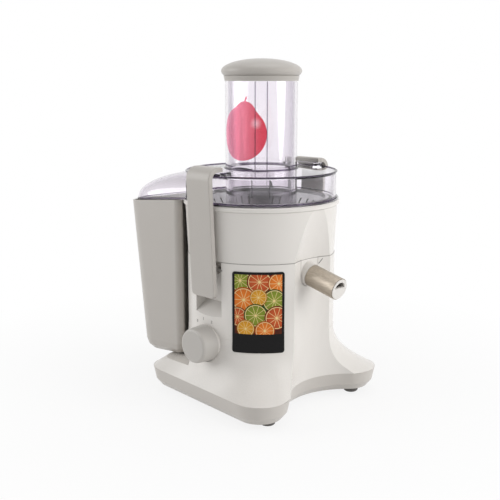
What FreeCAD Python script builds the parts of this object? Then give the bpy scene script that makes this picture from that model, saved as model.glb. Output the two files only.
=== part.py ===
import FreeCAD, Part
import math
import os

# Centrifugal juicer, in millimetres.
# Every piece is drawn about the motor's axis: X runs along the juice spout, the front with the
# speed knob faces -Y, Z is up and the floor is Z = 0. At the end the whole machine is moved along X,
# so that the origin lies on the floor under the middle of its box.

V = FreeCAD.Vector
ORIGIN = V(0, 0, 0)
X_AXIS = V(1, 0, 0)
Y_AXIS = V(0, 1, 0)
Z_AXIS = V(0, 0, 1)
FULL_TURN = 360.0
HALF_TURN = 180.0
REACH = 500.0  # cutting tools are longer than anything on the machine

# Fits between pieces
RUNNING_CLEARANCE = 0.05  # a shaft or pin in its hole
SEAT_GAP = 0.3  # pieces of different bodies that lie on each other
EASY_GAP = 0.6  # pieces that lift or slide apart

# Rubber feet
FOOT_RADIUS = 9.5
FOOT_HEIGHT = 7.0
FOOT_STEM_RADIUS = 3.0
FOOT_OUT = 9.0  # towards the spout, from the middle of a lobe
FOOT_IN = 3.0  # towards the machine's middle plane

# Base tray: two lobes on the spout side, two heels under the pulp container, a waist below the spout
TRAY_HEIGHT = 22.0
TRAY_WALL = 3.0
TRAY_TUCK = 9.0  # the bottom edge is drawn in by this much
TRAY_BELLY = 3.0  # and the side by this much, a third of the way up
LOBE_X = 71.0
LOBE_Y = 74.0
LOBE_RADIUS = 33.0
HEEL_X = -71.0
HEEL_Y = 67.0
HEEL_RADIUS = 30.0
WAIST_X = 73.0
SCREW_SPREAD = 52.0  # base screws, from the motor's axis along X and along Y
SCREW_RADIUS = 1.8
SCREW_HEAD_RADIUS = 3.6
SCREW_HEAD_HEIGHT = 2.5
SCREW_LENGTH = 26.0
SCREW_BOSS_RADIUS = 5.5

# Power housing: a round body that flares down to the tray, with a concave scoop round the spout
HOUSING_RADIUS = 84.5
HOUSING_HEIGHT = 140.0
HOUSING_WALL = 3.0
FLARE_HEIGHT = 55.0
FLARE_POWER = 2.4
FLARE_STEPS = 4
OUTLINE_POINTS = 48
SKIRT_LAP = 0.3  # the flare ends in a hair's step on the round body
SHADOW_LINE = 0.6  # the housing is set in from the tray's edge
DECK_BORE_RADIUS = 15.0

# Locking arms and their pockets, the rear ones mirrored
ARM_HALF_WIDTH = 18.5
ARM_THICKNESS = 5.0
ARM_LOW_END = 40.0  # below the seam
ARM_OUT = 12.5  # outer face under the hook, beyond the round body
ARM_LEAN = 2.7  # degrees
ARM_BEND = 13.0
ARM_CORNER = 5.0
ARM_EDGE_ROUND = 1.6
HOOK_LAP = 7.8  # the hook's tip, in from the lid's edge
PIVOT_IN = 4.5  # in from the round body
PIVOT_DROP = 9.0  # below the seam
PIN_RADIUS = 2.0
EAR_RADIUS = 5.0
EAR_WIDTH = 5.0
EAR_SET_IN = 5.0  # from the arm's sides
POCKET_SIDE_GAP = 2.0
POCKET_DEPTH = 18.5  # from the round body
POCKET_WALL = 2.5
POCKET_LOW_END = 62.5  # below the seam, at the outside
POCKET_SLOPE = 13.0  # rise of the finger scoop from the outside to the back

# Speed knob and its switch
KNOB_RADIUS = 20.5
KNOB_DEPTH = 20.0
KNOB_DRAFT = 1.2
KNOB_ROUND = 2.5
KNOB_RISE = 47.0  # above the tray
KNOB_SEAT_OUT = 1.9  # flat round seat beyond the round body, sunk into the flare below
KNOB_SEAT_STEP = 1.0
SPINDLE_RADIUS = 3.0
SPINDLE_GRIP = 12.0  # depth in the knob
SWITCH_HALF_WIDTH = 14.0
SWITCH_HALF_HEIGHT = 13.0
SWITCH_DEPTH = 20.0
SWITCH_BOSS_RADIUS = 9.0
SWITCH_BOSS_LENGTH = 6.0

# Bowl
BOWL_SET_IN = 0.5  # from the housing
BOWL_SPREAD = 2.5
BOWL_HEIGHT = 61.0
BOWL_WALL = 2.6
BOWL_FLOOR = 3.0
BOWL_RIM_WALL = 3.2  # outside the lid's spigot
BOWL_RIM_HEIGHT = 6.0
CHIMNEY_RADIUS = 18.0
CHIMNEY_HEIGHT = 17.0

# Spout, square to the scooped face of the bowl, which leans outwards
SPOUT_TILT = 13.4
SPOUT_DROP = 15.9  # from the seam down the leaning face
COLLAR_RADIUS = 13.0
COLLAR_LENGTH = 10.0
COLLAR_BORE_RADIUS = 10.6
SPOUT_BLOCK_EDGE = 0.65  # the bowl's block is wider than the collar
SPOUT_BACK = 32.0  # length of the juice channel behind the face
SLEEVE_RADIUS = 12.2
SLEEVE_LENGTH = 39.4
SLEEVE_WALL = 0.8
SPOUT_BORE_RADIUS = 9.2
SPOUT_TAIL = 14.0  # the turning spout reaches this far back into the collar
SPOUT_PLATE = 2.5
MOUTH_RADIUS = 8.0
MOUTH_CHORD = 1.5  # the half-moon's straight side, above the middle
SEAL_WIDTH = 2.0
SEAL_DEPTH = 0.8

# Lid with feed tube and pulp hood
LID_STEP = 0.8  # wider than the foot of the bowl
LID_HEIGHT = 31.0
LID_WALL = 2.4
LID_FLANGE = 3.0
LID_FLANGE_HEIGHT = 1.8
LID_SPIGOT = 5.0
LID_CROWN = 3.0  # rise of the top from the rim to the tube
LEDGE_HALF_WIDTH = 20.0
LEDGE_TOP = 4.0  # above the rim
LEDGE_DEPTH = 17.0
LEDGE_SET_IN = 1.8  # from the lid's edge
TUBE_BORE_RADIUS = 37.5
TUBE_WALL = 3.0
TUBE_HEIGHT = 98.6  # above the rim
TUBE_DROP = 58.0  # below the rim
RIB_HALF_WIDTH = 6.0
RIB_HEIGHT = 2.2
RIB_ANGLE = -46.0
HOOD_SIDE = 5.0  # narrower than the container, on each side
HOOD_END = 4.0  # shorter than the container
HOOD_FALL_LENGTH = 80.0  # of the curved end
HOOD_DROP = 1.0  # its top below the lid's rim
HOOD_FALL = 38.0
HOOD_CORNER = 42.0
HOOD_SHOULDER = 36.0
HOOD_WALL = 2.2
HOOD_GAP = 1.0  # over the container's rim

# Pusher
PUSHER_WALL = 2.2
PUSHER_FLOOR_GAP = 3.5  # above the tube's lower end
CAP_OVERHANG = 4.5  # beyond the feed tube
CAP_RING_OVERHANG = 1.7
CAP_RING_TAPER = 1.4
CAP_RING_HEIGHT = 6.0
CAP_GROOVE = 0.8
CAP_BULGE_RISE = 5.0
CAP_DOME_RISE = 18.6
CAP_EDGE_ROUND = 5.0
CAP_FLAT = 1.0  # middle of the dome
CAP_SOCKET = 8.0

# Pulp container, leaning with its shelf
BIN_TILT = 5.5
BIN_RIM_RISE = 3.5  # the rim's plane on the motor's axis, above the bowl's rim
BIN_DEPTH = 186.0
BIN_REACH = 163.0
BIN_HALF_WIDTH = 75.0
BIN_SIDE_GAP = 1.4  # to the bowl's rim
BIN_CORNER = 30.0
BIN_NOSE = 6.0  # rounding beside the body
BIN_DRAFT_X = 1.0
BIN_DRAFT_Y = 3.0
BIN_BASE_ROUND = 15.0
BIN_BASE_STEPS = 3
BIN_WALL = 2.4
BAY_STEP = 0.9  # the housing's wall in the container's bay, beyond the round body

# Filter drum
DRUM_FLOOR_DROP = 34.0  # grater below the bowl's rim
DRUM_LOW_RADIUS = 50.0
DRUM_SIDE_GAP = 5.4  # to the lid's wall
DRUM_WALL = 1.2
DRUM_RIM_WIDTH = 4.0
DRUM_RIM_HEIGHT = 4.0
DRUM_SLOTS = 36
SLOT_WIDTH = 2.0
GRATER_THICKNESS = 1.2
TOOTH_ROWS = 6
TEETH_PER_ROW = 6
TOOTH_HEIGHT = 2.2
TOOTH_LENGTH = 3.0
TOOTH_WIDTH = 1.2
TOOTH_FIRST_RADIUS = 12.0
TOOTH_STEP = 6.0
TOOTH_SWIRL = 9.0  # degrees from one tooth to the next in a row
HUB_PLATE = 3.0
HUB_RADIUS = 13.0
HUB_SKIRT_RADIUS = 23.5
HUB_SKIRT_WALL = 2.0
COUPLING_RADIUS = 11.0
COUPLING_HEIGHT = 15.0
COUPLING_LUGS = 3
COUPLING_LUG_RADIUS = 2.5

# Motor
SHAFT_RADIUS = 4.0
SHAFT_TAIL = 4.0  # below the lower bearing
STATOR_RISE = 43.0  # above the tray
STATOR_HEIGHT = 36.0
STATOR_RADIUS = 42.0
STATOR_BORE_RADIUS = 24.2
AIR_GAP = 0.6
POLE_WALL = 3.8  # between the bore and the coil windows
YOKE_WALL = 6.5  # outside the coil windows
WINDOW_ANGLE = 70.0
COIL_OVERHANG = 6.0
ARMATURE_SLOTS = 12
ARMATURE_SLOT_WIDTH = 2.4
ARMATURE_SLOT_DEPTH = 6.0
WINDING_RADIUS = 19.0
WINDING_HEIGHT = 6.0
COMMUTATOR_RADIUS = 11.0
COMMUTATOR_RISE = 2.0  # above the lower bracket
COMMUTATOR_HEIGHT = 10.0
COMMUTATOR_BARS = 12
COMMUTATOR_SLIT = 0.8
BEARING_RADIUS = 9.0
BEARING_HEIGHT = 6.0
BRACKET_THICKNESS = 4.0
BRACKET_HALF_WIDTH = 12.0
BRACKET_HUB_RADIUS = 14.0
BRACKET_END_GAP = 8.0  # between the stator's ends and the brackets
BOLT_OUT = 4.0  # beyond the stator
BOLT_RADIUS = 2.0
BOLT_HEAD_RADIUS = 4.0
BOLT_HEAD_HEIGHT = 3.0
POST_SPREAD = 34.0
POST_RADIUS = 5.0
DAMPER_RADIUS = 6.5
DAMPER_HEIGHT = 4.0
FAN_RADIUS = 34.0
FAN_RISE = 12.0  # above the upper bracket
FAN_HEIGHT = 8.0
FAN_PLATE = 1.6
FAN_HUB_RADIUS = 9.0
FAN_BLADES = 9
FAN_BLADE_WIDTH = 1.6
BRUSH_HALF_WIDTH = 3.0
BRUSH_LENGTH = 15.0
BRUSH_HOLDER_WALL = 1.6
BRUSH_HOLDER_LENGTH = 20.0
INTERLOCK_HALF_WIDTH = 8.0
INTERLOCK_DEPTH = 12.0
INTERLOCK_HEIGHT = 16.0
INTERLOCK_DROP = 14.0  # top of the interlock switch below the seam
GROMMET_RADIUS = 6.0
GROMMET_BORE_RADIUS = 3.6
GROMMET_FLANGE_RADIUS = 8.0
GROMMET_FLANGE = 1.6
GROMMET_X = -20.0
GROMMET_RISE = 11.0  # above the tray's bottom

# Levels worked out from the sizes above
TRAY_BOTTOM = FOOT_HEIGHT
TRAY_TOP = TRAY_BOTTOM + TRAY_HEIGHT
SEAM = TRAY_TOP + HOUSING_HEIGHT
FLARE_TOP = TRAY_TOP + FLARE_HEIGHT
DECK_UNDER = SEAM - HOUSING_WALL
BOWL_FLOOR_TOP = SEAM + BOWL_FLOOR
BOWL_RIM = SEAM + BOWL_HEIGHT
LID_RIM = BOWL_RIM + LID_HEIGHT
TUBE_RADIUS = TUBE_BORE_RADIUS + TUBE_WALL
TUBE_LOW = LID_RIM - TUBE_DROP
TUBE_TOP = LID_RIM + TUBE_HEIGHT
CAP_LOW = TUBE_TOP + SEAT_GAP
PIVOT_Y = HOUSING_RADIUS - PIVOT_IN
PIVOT_Z = SEAM - PIVOT_DROP
KNOB_Z = TRAY_TOP + KNOB_RISE
KNOB_SEAT_Y = HOUSING_RADIUS + KNOB_SEAT_OUT
POCKET_HALF_WIDTH = ARM_HALF_WIDTH + POCKET_SIDE_GAP
POCKET_BACK_Y = HOUSING_RADIUS - POCKET_DEPTH
GRATER_LOW = BOWL_RIM - DRUM_FLOOR_DROP
STATOR_LOW = TRAY_TOP + STATOR_RISE
STATOR_HIGH = STATOR_LOW + STATOR_HEIGHT
LOWER_BRACKET_TOP = STATOR_LOW - BRACKET_END_GAP - COMMUTATOR_HEIGHT - COIL_OVERHANG + BRACKET_THICKNESS
COMMUTATOR_LOW = LOWER_BRACKET_TOP + COMMUTATOR_RISE
UPPER_BRACKET_LOW = STATOR_HIGH + BRACKET_END_GAP
UPPER_BRACKET_TOP = UPPER_BRACKET_LOW + BRACKET_THICKNESS
FAN_LOW = UPPER_BRACKET_TOP + FAN_RISE
POST_LOW = UPPER_BRACKET_TOP + DAMPER_HEIGHT
HUB_LOW = GRATER_LOW - HUB_PLATE
COUPLING_LOW = HUB_LOW - COUPLING_HEIGHT
SWITCH_FRONT_Y = HOUSING_RADIUS - SWITCH_BOSS_LENGTH - HOUSING_WALL

# Widths worked out from the sizes above
BOWL_RADIUS = HOUSING_RADIUS - BOWL_SET_IN
LID_RADIUS = BOWL_RADIUS + LID_STEP
BOWL_RIM_RADIUS = LID_RADIUS + EASY_GAP + BOWL_RIM_WALL
BIN_INNER_RADIUS = BOWL_RIM_RADIUS + BIN_SIDE_GAP
BAY_RADIUS = HOUSING_RADIUS + BAY_STEP
HOOD_HALF_WIDTH = BIN_HALF_WIDTH - HOOD_SIDE
HOOD_REACH = BIN_REACH - HOOD_END
PUSHER_RADIUS = TUBE_BORE_RADIUS - EASY_GAP
CAP_RADIUS = TUBE_RADIUS + CAP_OVERHANG
CAP_RING_RADIUS = TUBE_RADIUS + CAP_RING_OVERHANG
DRUM_RIM_RADIUS = LID_RADIUS - LID_WALL - DRUM_SIDE_GAP
DRUM_HIGH_RADIUS = DRUM_RIM_RADIUS - DRUM_RIM_WIDTH
WINDOW_IN = STATOR_BORE_RADIUS + POLE_WALL
WINDOW_OUT = STATOR_RADIUS - YOKE_WALL
BOLT_SPREAD = STATOR_RADIUS + BOLT_OUT

# Directions of the spout: along it, and up its leaning face
TILT = math.radians(SPOUT_TILT)
SPOUT_AXIS = V(math.cos(TILT), 0, -math.sin(TILT))
SPOUT_UP = V(math.sin(TILT), 0, math.cos(TILT))
SPOUT_ROOT = V(WAIST_X, 0, SEAM) - SPOUT_UP * SPOUT_DROP
SPOUT_FRAME = FreeCAD.Placement(SPOUT_ROOT, FreeCAD.Rotation(SPOUT_UP, Y_AXIS, SPOUT_AXIS, "ZXY"))
SPOUT_END = COLLAR_LENGTH + SLEEVE_LENGTH

# The scoop is the arc that touches both lobes from outside and passes through the waist
WAIST_OFFSET = WAIST_X - LOBE_X
SCOOP_RADIUS = (WAIST_OFFSET ** 2 + LOBE_Y ** 2 - LOBE_RADIUS ** 2) / (2 * (LOBE_RADIUS - WAIST_OFFSET))
SCOOP_X = WAIST_X + SCOOP_RADIUS

# The container's frame leans about the motor's axis
BIN_LEAN = math.tan(math.radians(BIN_TILT))
BIN_FRAME = FreeCAD.Placement(V(0, 0, BOWL_RIM + BIN_RIM_RISE), FreeCAD.Rotation(Y_AXIS, -BIN_TILT))


# Plain solids

def cylinder(radius, low, high, x=0.0, y=0.0):
    return Part.makeCylinder(radius, high - low, V(x, y, low))


def ring(inner, outer, low, high, x=0.0, y=0.0):
    return cylinder(outer, low, high, x, y).cut(cylinder(inner, low, high, x, y))


def box(x_low, x_high, y_low, y_high, z_low, z_high):
    return Part.makeBox(x_high - x_low, y_high - y_low, z_high - z_low, V(x_low, y_low, z_low))


def closed_face(points):
    return Part.Face(Part.makePolygon(points + [points[0]]))


def revolve(outline):
    # outline is a list of (radius, height)
    return closed_face([V(r, 0, z) for r, z in outline]).revolve(ORIGIN, Z_AXIS, FULL_TURN)


def turned(shape, angle, axis=Z_AXIS, centre=ORIGIN):
    copy = shape.copy()
    copy.rotate(centre, axis, angle)
    return copy


def around(shape, count):
    return [turned(shape, FULL_TURN * i / count) for i in range(count)]


def placed(shape, frame):
    copy = shape.copy()
    copy.Placement = frame.multiply(copy.Placement)
    return copy


def mirrored(shape):
    return shape.mirror(ORIGIN, Y_AXIS)


def four_corners(x_low, x_high, y):
    return [(x, side * y) for x in (x_low, x_high) for side in (-1, 1)]


# Base outline

def unit(vector):
    return vector / vector.Length


def arc_about(centre, radius, start, end):
    # the shorter arc from the direction start to the direction end
    middle = unit(start + end)
    return Part.Arc(centre + start * radius, centre + middle * radius, centre + end * radius).toShape()


def side_normal():
    # outward direction of the straight side between a heel and a lobe, on the +Y side
    run = V(LOBE_X - HEEL_X, LOBE_Y - HEEL_Y, 0)
    along = unit(run)
    across = V(-along.y, along.x, 0)
    lean = (HEEL_RADIUS - LOBE_RADIUS) / run.Length
    return along * lean + across * math.sqrt(1 - lean ** 2)


def flip(vector):
    return V(vector.x, -vector.y, vector.z)


def lobed_wire(inset, z):
    lobe_radius = LOBE_RADIUS - inset
    heel_radius = HEEL_RADIUS - inset
    lobe = V(LOBE_X, LOBE_Y, z)
    heel = V(HEEL_X, HEEL_Y, z)
    normal = side_normal()
    to_waist = unit(V(SCOOP_X, 0, z) - lobe)
    waist_start = flip(lobe + to_waist * lobe_radius)
    waist_middle = V(WAIST_X - inset, 0, z)
    edges = [
        Part.Arc(waist_start, waist_middle, flip(waist_start)).toShape(),
        arc_about(lobe, lobe_radius, to_waist, normal),
        Part.makeLine(lobe + normal * lobe_radius, heel + normal * heel_radius),
        arc_about(heel, heel_radius, normal, -X_AXIS),
        Part.makeLine(heel - X_AXIS * heel_radius, flip(heel) - X_AXIS * heel_radius),
        arc_about(flip(heel), heel_radius, -X_AXIS, flip(normal)),
        Part.makeLine(flip(heel + normal * heel_radius), flip(lobe + normal * lobe_radius)),
        arc_about(flip(lobe), lobe_radius, flip(normal), flip(to_waist)),
    ]
    return Part.Wire(edges)


# Feet, tray and screws

def foot_places():
    spout_side = [(LOBE_X + FOOT_OUT, side * (LOBE_Y - FOOT_IN)) for side in (-1, 1)]
    bin_side = [(HEEL_X - FOOT_IN, side * HEEL_Y) for side in (-1, 1)]
    return spout_side + bin_side


def screw_places():
    return four_corners(-SCREW_SPREAD, SCREW_SPREAD, SCREW_SPREAD)


def rubber_feet():
    edge = FOOT_RADIUS / 8
    outline = [
        (0, 0),
        (FOOT_RADIUS - 2 * edge, 0),
        (FOOT_RADIUS - edge, edge),
        (FOOT_RADIUS, TRAY_BOTTOM),
        (FOOT_STEM_RADIUS, TRAY_BOTTOM),
        (FOOT_STEM_RADIUS, TRAY_BOTTOM + TRAY_WALL),
        (0, TRAY_BOTTOM + TRAY_WALL),
    ]
    foot = revolve(outline)
    return Part.makeCompound([foot.translated(V(x, y, 0)) for x, y in foot_places()])


def tray_loft(inset, low):
    third = TRAY_BOTTOM + TRAY_HEIGHT / 3
    sections = [
        lobed_wire(TRAY_TUCK + inset, low),
        lobed_wire(TRAY_BELLY + inset, max(third, low + TRAY_WALL)),
        lobed_wire(inset, TRAY_TOP),
    ]
    return Part.makeLoft(sections, True, True)


def grommet_frame():
    # the cord's inlet goes through the straight back side, square to it
    normal = side_normal()
    on_side = V(HEEL_X, HEEL_Y, TRAY_BOTTOM + GROMMET_RISE) + normal * (HEEL_RADIUS - TRAY_BELLY)
    along = V(normal.y, -normal.x, 0)
    place = on_side + along * ((GROMMET_X - on_side.x) / along.x)
    return FreeCAD.Placement(place, FreeCAD.Rotation(Z_AXIS, normal))


def base_tray():
    tray = tray_loft(0, TRAY_BOTTOM).cut(tray_loft(TRAY_WALL, TRAY_BOTTOM + TRAY_WALL))
    bosses = [cylinder(SCREW_BOSS_RADIUS, TRAY_BOTTOM, TRAY_TOP, x, y) for x, y in screw_places()]
    holes = [placed(cylinder(GROMMET_RADIUS, -4 * TRAY_WALL, REACH / 4), grommet_frame())]
    for x, y in screw_places():
        holes.append(cylinder(SCREW_HEAD_RADIUS + EASY_GAP, 0, TRAY_BOTTOM + SCREW_HEAD_HEIGHT, x, y))
        holes.append(cylinder(SCREW_RADIUS, 0, TRAY_TOP, x, y))
    for x, y in foot_places():
        holes.append(cylinder(FOOT_STEM_RADIUS, 0, TRAY_BOTTOM + TRAY_WALL, x, y))
    return tray.fuse(bosses).cut(holes)


def base_screws():
    head_low = TRAY_BOTTOM
    head_high = head_low + SCREW_HEAD_HEIGHT
    screws = []
    for x, y in screw_places():
        head = cylinder(SCREW_HEAD_RADIUS, head_low, head_high, x, y)
        screws.append(head.fuse(cylinder(SCREW_RADIUS, head_high, head_high + SCREW_LENGTH, x, y)))
    return Part.makeCompound(screws)


def cord_grommet():
    tube = ring(GROMMET_BORE_RADIUS, GROMMET_RADIUS, -2 * TRAY_WALL, TRAY_WALL)
    flange = ring(GROMMET_BORE_RADIUS, GROMMET_FLANGE_RADIUS, TRAY_WALL, TRAY_WALL + GROMMET_FLANGE)
    return placed(tube.fuse(flange), grommet_frame())


# Power housing

def base_reach(angle):
    # distance from the axis to the tray's outline, with the waist bridged straight across
    direction = V(math.cos(angle), math.sin(angle), 0)
    lobe = V(LOBE_X, LOBE_Y, 0)
    bridge = lobe + unit(V(SCOOP_X, 0, 0) - lobe) * LOBE_RADIUS
    if abs(math.atan2(direction.y, direction.x)) < math.atan2(bridge.y, bridge.x):
        return bridge.x / direction.x
    ray = Part.makeLine(ORIGIN, direction * REACH)
    return BASE_WIRE.distToShape(ray)[1][0][0].Length


BASE_WIRE = lobed_wire(0, 0)
OUTLINE_ANGLES = [2 * math.pi * i / OUTLINE_POINTS for i in range(OUTLINE_POINTS)]
BASE_REACHES = [base_reach(angle) for angle in OUTLINE_ANGLES]


def flare_wire(z, inset):
    # the round body grows towards the tray's outline as the height above the tray falls
    share = max(0.0, (FLARE_TOP - z) / FLARE_HEIGHT) ** FLARE_POWER
    points = []
    for angle, base in zip(OUTLINE_ANGLES, BASE_REACHES):
        radius = HOUSING_RADIUS + (base - SHADOW_LINE - HOUSING_RADIUS) * share + SKIRT_LAP - inset
        points.append(V(radius * math.cos(angle), radius * math.sin(angle), z))
    curve = Part.BSplineCurve()
    curve.interpolate(Points=points, PeriodicFlag=True)
    return Part.Wire(curve.toShape())


def flared_solid(inset, drop, top):
    # drop lowers the inside, so that the wall keeps its thickness where it lies flat
    sections = []
    for i in range(FLARE_STEPS + 1):
        z = TRAY_TOP + FLARE_HEIGHT * (i / FLARE_STEPS)
        wire = flare_wire(z + drop, inset)
        wire.translate(V(0, 0, -drop))
        sections.append(wire)
    skirt = Part.makeLoft(sections, True)
    body = cylinder(HOUSING_RADIUS - inset, FLARE_TOP - FLARE_HEIGHT / 2, top)
    return skirt.fuse(body)


def scoop_tool(grow):
    return cylinder(SCOOP_RADIUS + grow, 0, REACH, SCOOP_X)


def bay_tool(grow):
    # room for the pulp container, above its shelf
    shelf = -BIN_DEPTH - SEAT_GAP - grow
    block = placed(box(-REACH, -BIN_INNER_RADIUS / 2 + grow, -REACH, REACH, shelf, REACH), BIN_FRAME)
    return block.cut(cylinder(BAY_RADIUS - grow, 0, REACH))


def u_prism(half_width, start, end, height):
    # a channel section along the spout, round below and open above
    low = V(-half_width, 0, start)
    left = V(0, -half_width, start)
    right = V(0, half_width, start)
    edges = [
        Part.Arc(left, low, right).toShape(),
        Part.makeLine(right, right + X_AXIS * height),
        Part.makeLine(right + X_AXIS * height, left + X_AXIS * height),
        Part.makeLine(left + X_AXIS * height, left),
    ]
    return placed(Part.Face(Part.Wire(edges)).extrude(Z_AXIS * (end - start)), SPOUT_FRAME)


def pocket_solid(grow):
    # pocket behind the front arm, with a sloping finger scoop at its foot
    back = POCKET_BACK_Y - grow
    low = SEAM - POCKET_LOW_END - grow
    outline = [
        V(0, -REACH / 4, low),
        V(0, -HOUSING_RADIUS, low),
        V(0, -back, low + POCKET_SLOPE),
        V(0, -back, SEAM),
        V(0, -REACH / 4, SEAM),
    ]
    half_width = POCKET_HALF_WIDTH + grow
    return closed_face(outline).extrude(X_AXIS * (2 * half_width)).translated(V(-half_width, 0, 0))


def along_y(radius, low, high, x, z):
    return Part.makeCylinder(radius, high - low, V(x, low, z), Y_AXIS)


def along_x(radius, low, high, y, z):
    return Part.makeCylinder(radius, high - low, V(low, y, z), X_AXIS)


def power_housing():
    # what stays solid inside is taken out of the hollow, and the hollow out of the flared block
    slot_width = COLLAR_RADIUS + SPOUT_BLOCK_EDGE + EASY_GAP
    pocket_lining = pocket_solid(POCKET_WALL)
    kept = [
        u_prism(slot_width + POCKET_WALL, -SPOUT_BACK - POCKET_WALL, REACH / 4, REACH / 4),
        pocket_lining,
        mirrored(pocket_lining),
        along_y(SWITCH_BOSS_RADIUS, -HOUSING_RADIUS, -SWITCH_FRONT_Y, 0, KNOB_Z),
    ]
    for x, y in four_corners(-POST_SPREAD, POST_SPREAD, POST_SPREAD):
        kept.append(cylinder(POST_RADIUS, POST_LOW, SEAM, x, y))
    for x, y in screw_places():
        kept.append(cylinder(SCREW_BOSS_RADIUS, TRAY_TOP, FLARE_TOP, x, y))
        web = box(math.hypot(x, y), HOUSING_RADIUS, -HOUSING_WALL / 2, HOUSING_WALL / 2, TRAY_TOP, FLARE_TOP)
        kept.append(turned(web, math.degrees(math.atan2(y, x))))
    hollow = flared_solid(HOUSING_WALL, HOUSING_WALL, DECK_UNDER)
    hollow = hollow.cut(scoop_tool(HOUSING_WALL)).cut(bay_tool(HOUSING_WALL)).cut(kept)
    pocket = pocket_solid(0)
    tools = [
        u_prism(slot_width, -SPOUT_BACK, REACH / 4, REACH / 4),
        pocket,
        mirrored(pocket),
        cylinder(DECK_BORE_RADIUS, DECK_UNDER - HOUSING_WALL, REACH),
        along_y(KNOB_RADIUS + KNOB_SEAT_STEP, -REACH, -KNOB_SEAT_Y, 0, KNOB_Z),
        along_y(SPINDLE_RADIUS + RUNNING_CLEARANCE, -REACH, -SWITCH_FRONT_Y, 0, KNOB_Z),
    ]
    for side in (-1, 1):
        tools.append(along_x(PIN_RADIUS, -pin_half_length(), pin_half_length(), side * PIVOT_Y, PIVOT_Z))
    for x, y in screw_places():
        tools.append(cylinder(SCREW_RADIUS, 0, TRAY_BOTTOM + SCREW_HEAD_HEIGHT + SCREW_LENGTH, x, y))
    seat = along_y(KNOB_RADIUS - KNOB_SEAT_STEP, -KNOB_SEAT_Y, -HOUSING_RADIUS + HOUSING_WALL, 0, KNOB_Z)
    block = flared_solid(0, 0, SEAM).fuse(seat).cut(scoop_tool(0)).cut(bay_tool(0))
    return block.cut(hollow).cut(tools)


# Locking arms

def pin_half_length():
    return POCKET_HALF_WIDTH + POCKET_WALL / 2


def arm_pin():
    return along_x(PIN_RADIUS, -pin_half_length(), pin_half_length(), -PIVOT_Y, PIVOT_Z)


def arm_bend(centre, radius):
    # from the leaning face round to the level hook
    lean = math.radians(ARM_LEAN)
    start = V(0, -math.cos(lean), -math.sin(lean))
    return arc_about(centre, radius, start, Z_AXIS)


def mid_point(face):
    u_low, u_high, v_low, v_high = face.ParameterRange
    return Part.Vertex(face.valueAt((u_low + u_high) / 2, (v_low + v_high) / 2))


def rounded_rim(solid, skin_wire):
    # rounds the rim of the faces that lie along the skin wire
    skin = [face for face in solid.Faces if skin_wire.distToShape(mid_point(face))[0] < SEAT_GAP]
    rim = []
    for edge in solid.Edges:
        owners = [face for face in skin if any(edge.isSame(other) for other in face.Edges)]
        if len(owners) == 1:
            rim.append(edge)
    return solid.makeFillet(ARM_EDGE_ROUND, rim)


def locking_arm():
    low = SEAM - ARM_LOW_END
    hook_low = LID_RIM + LEDGE_TOP + EASY_GAP
    hook_high = hook_low + ARM_THICKNESS
    tip_y = HOOK_LAP - LID_RADIUS
    centre = V(0, ARM_BEND - HOUSING_RADIUS - ARM_OUT, hook_high - ARM_BEND)
    outer_bend = arm_bend(centre, ARM_BEND)
    inner_bend = arm_bend(centre, ARM_BEND - ARM_THICKNESS)
    outer_start = outer_bend.Vertexes[0].Point
    inner_start = inner_bend.Vertexes[0].Point
    slope = math.tan(math.radians(ARM_LEAN))
    outer_low = V(0, outer_start.y + (outer_start.z - low) * slope, low)
    inner_low = V(0, inner_start.y + (inner_start.z - low) * slope, low)
    tip_high = V(0, tip_y, hook_high)
    tip_low = V(0, tip_y, hook_low)
    outer = [
        Part.makeLine(outer_low, outer_start),
        outer_bend,
        Part.makeLine(V(0, centre.y, hook_high), tip_high),
    ]
    inner = [
        Part.makeLine(tip_high, tip_low),
        Part.makeLine(tip_low, V(0, centre.y, hook_low)),
        inner_bend,
        Part.makeLine(inner_start, inner_low),
        Part.makeLine(inner_low, outer_low),
    ]
    face = Part.Face(Part.Wire(outer + inner))
    arm = face.extrude(X_AXIS * (2 * ARM_HALF_WIDTH)).translated(V(-ARM_HALF_WIDTH, 0, 0))
    lower_corners = [edge for edge in arm.Edges
                     if edge.BoundBox.ZMax < low + SEAT_GAP and edge.BoundBox.XLength < SEAT_GAP]
    arm = arm.makeFillet(ARM_CORNER, lower_corners)
    arm = rounded_rim(arm, Part.Wire(outer))
    ears = []
    for x_low in (EAR_SET_IN - ARM_HALF_WIDTH, ARM_HALF_WIDTH - EAR_SET_IN - EAR_WIDTH):
        x_high = x_low + EAR_WIDTH
        ears.append(along_x(EAR_RADIUS, x_low, x_high, -PIVOT_Y, PIVOT_Z))
        ears.append(box(x_low, x_high, inner_low.y - ARM_THICKNESS / 2, -PIVOT_Y, PIVOT_Z - EAR_RADIUS,
                        PIVOT_Z + EAR_RADIUS))
    hole = along_x(PIN_RADIUS + RUNNING_CLEARANCE, -ARM_HALF_WIDTH, ARM_HALF_WIDTH, -PIVOT_Y, PIVOT_Z)
    return arm.fuse(ears).cut(hole)


# Speed knob and switches

def speed_knob():
    small = KNOB_RADIUS - KNOB_DRAFT
    outline = [
        (0, 0),
        (KNOB_RADIUS, 0),
        (small, KNOB_DEPTH - KNOB_ROUND),
        (small - KNOB_ROUND / 3, KNOB_DEPTH - KNOB_ROUND / 3),
        (small - KNOB_ROUND, KNOB_DEPTH),
        (0, KNOB_DEPTH),
    ]
    knob = revolve(outline).cut(cylinder(SPINDLE_RADIUS, 0, SPINDLE_GRIP))
    back = V(0, -KNOB_SEAT_Y - SEAT_GAP, KNOB_Z)
    return placed(knob, FreeCAD.Placement(back, FreeCAD.Rotation(Z_AXIS, -Y_AXIS)))


def knob_spindle():
    front = -KNOB_SEAT_Y - SEAT_GAP - SPINDLE_GRIP
    return along_y(SPINDLE_RADIUS, front, -SWITCH_FRONT_Y + SWITCH_DEPTH / 2, 0, KNOB_Z)


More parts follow.
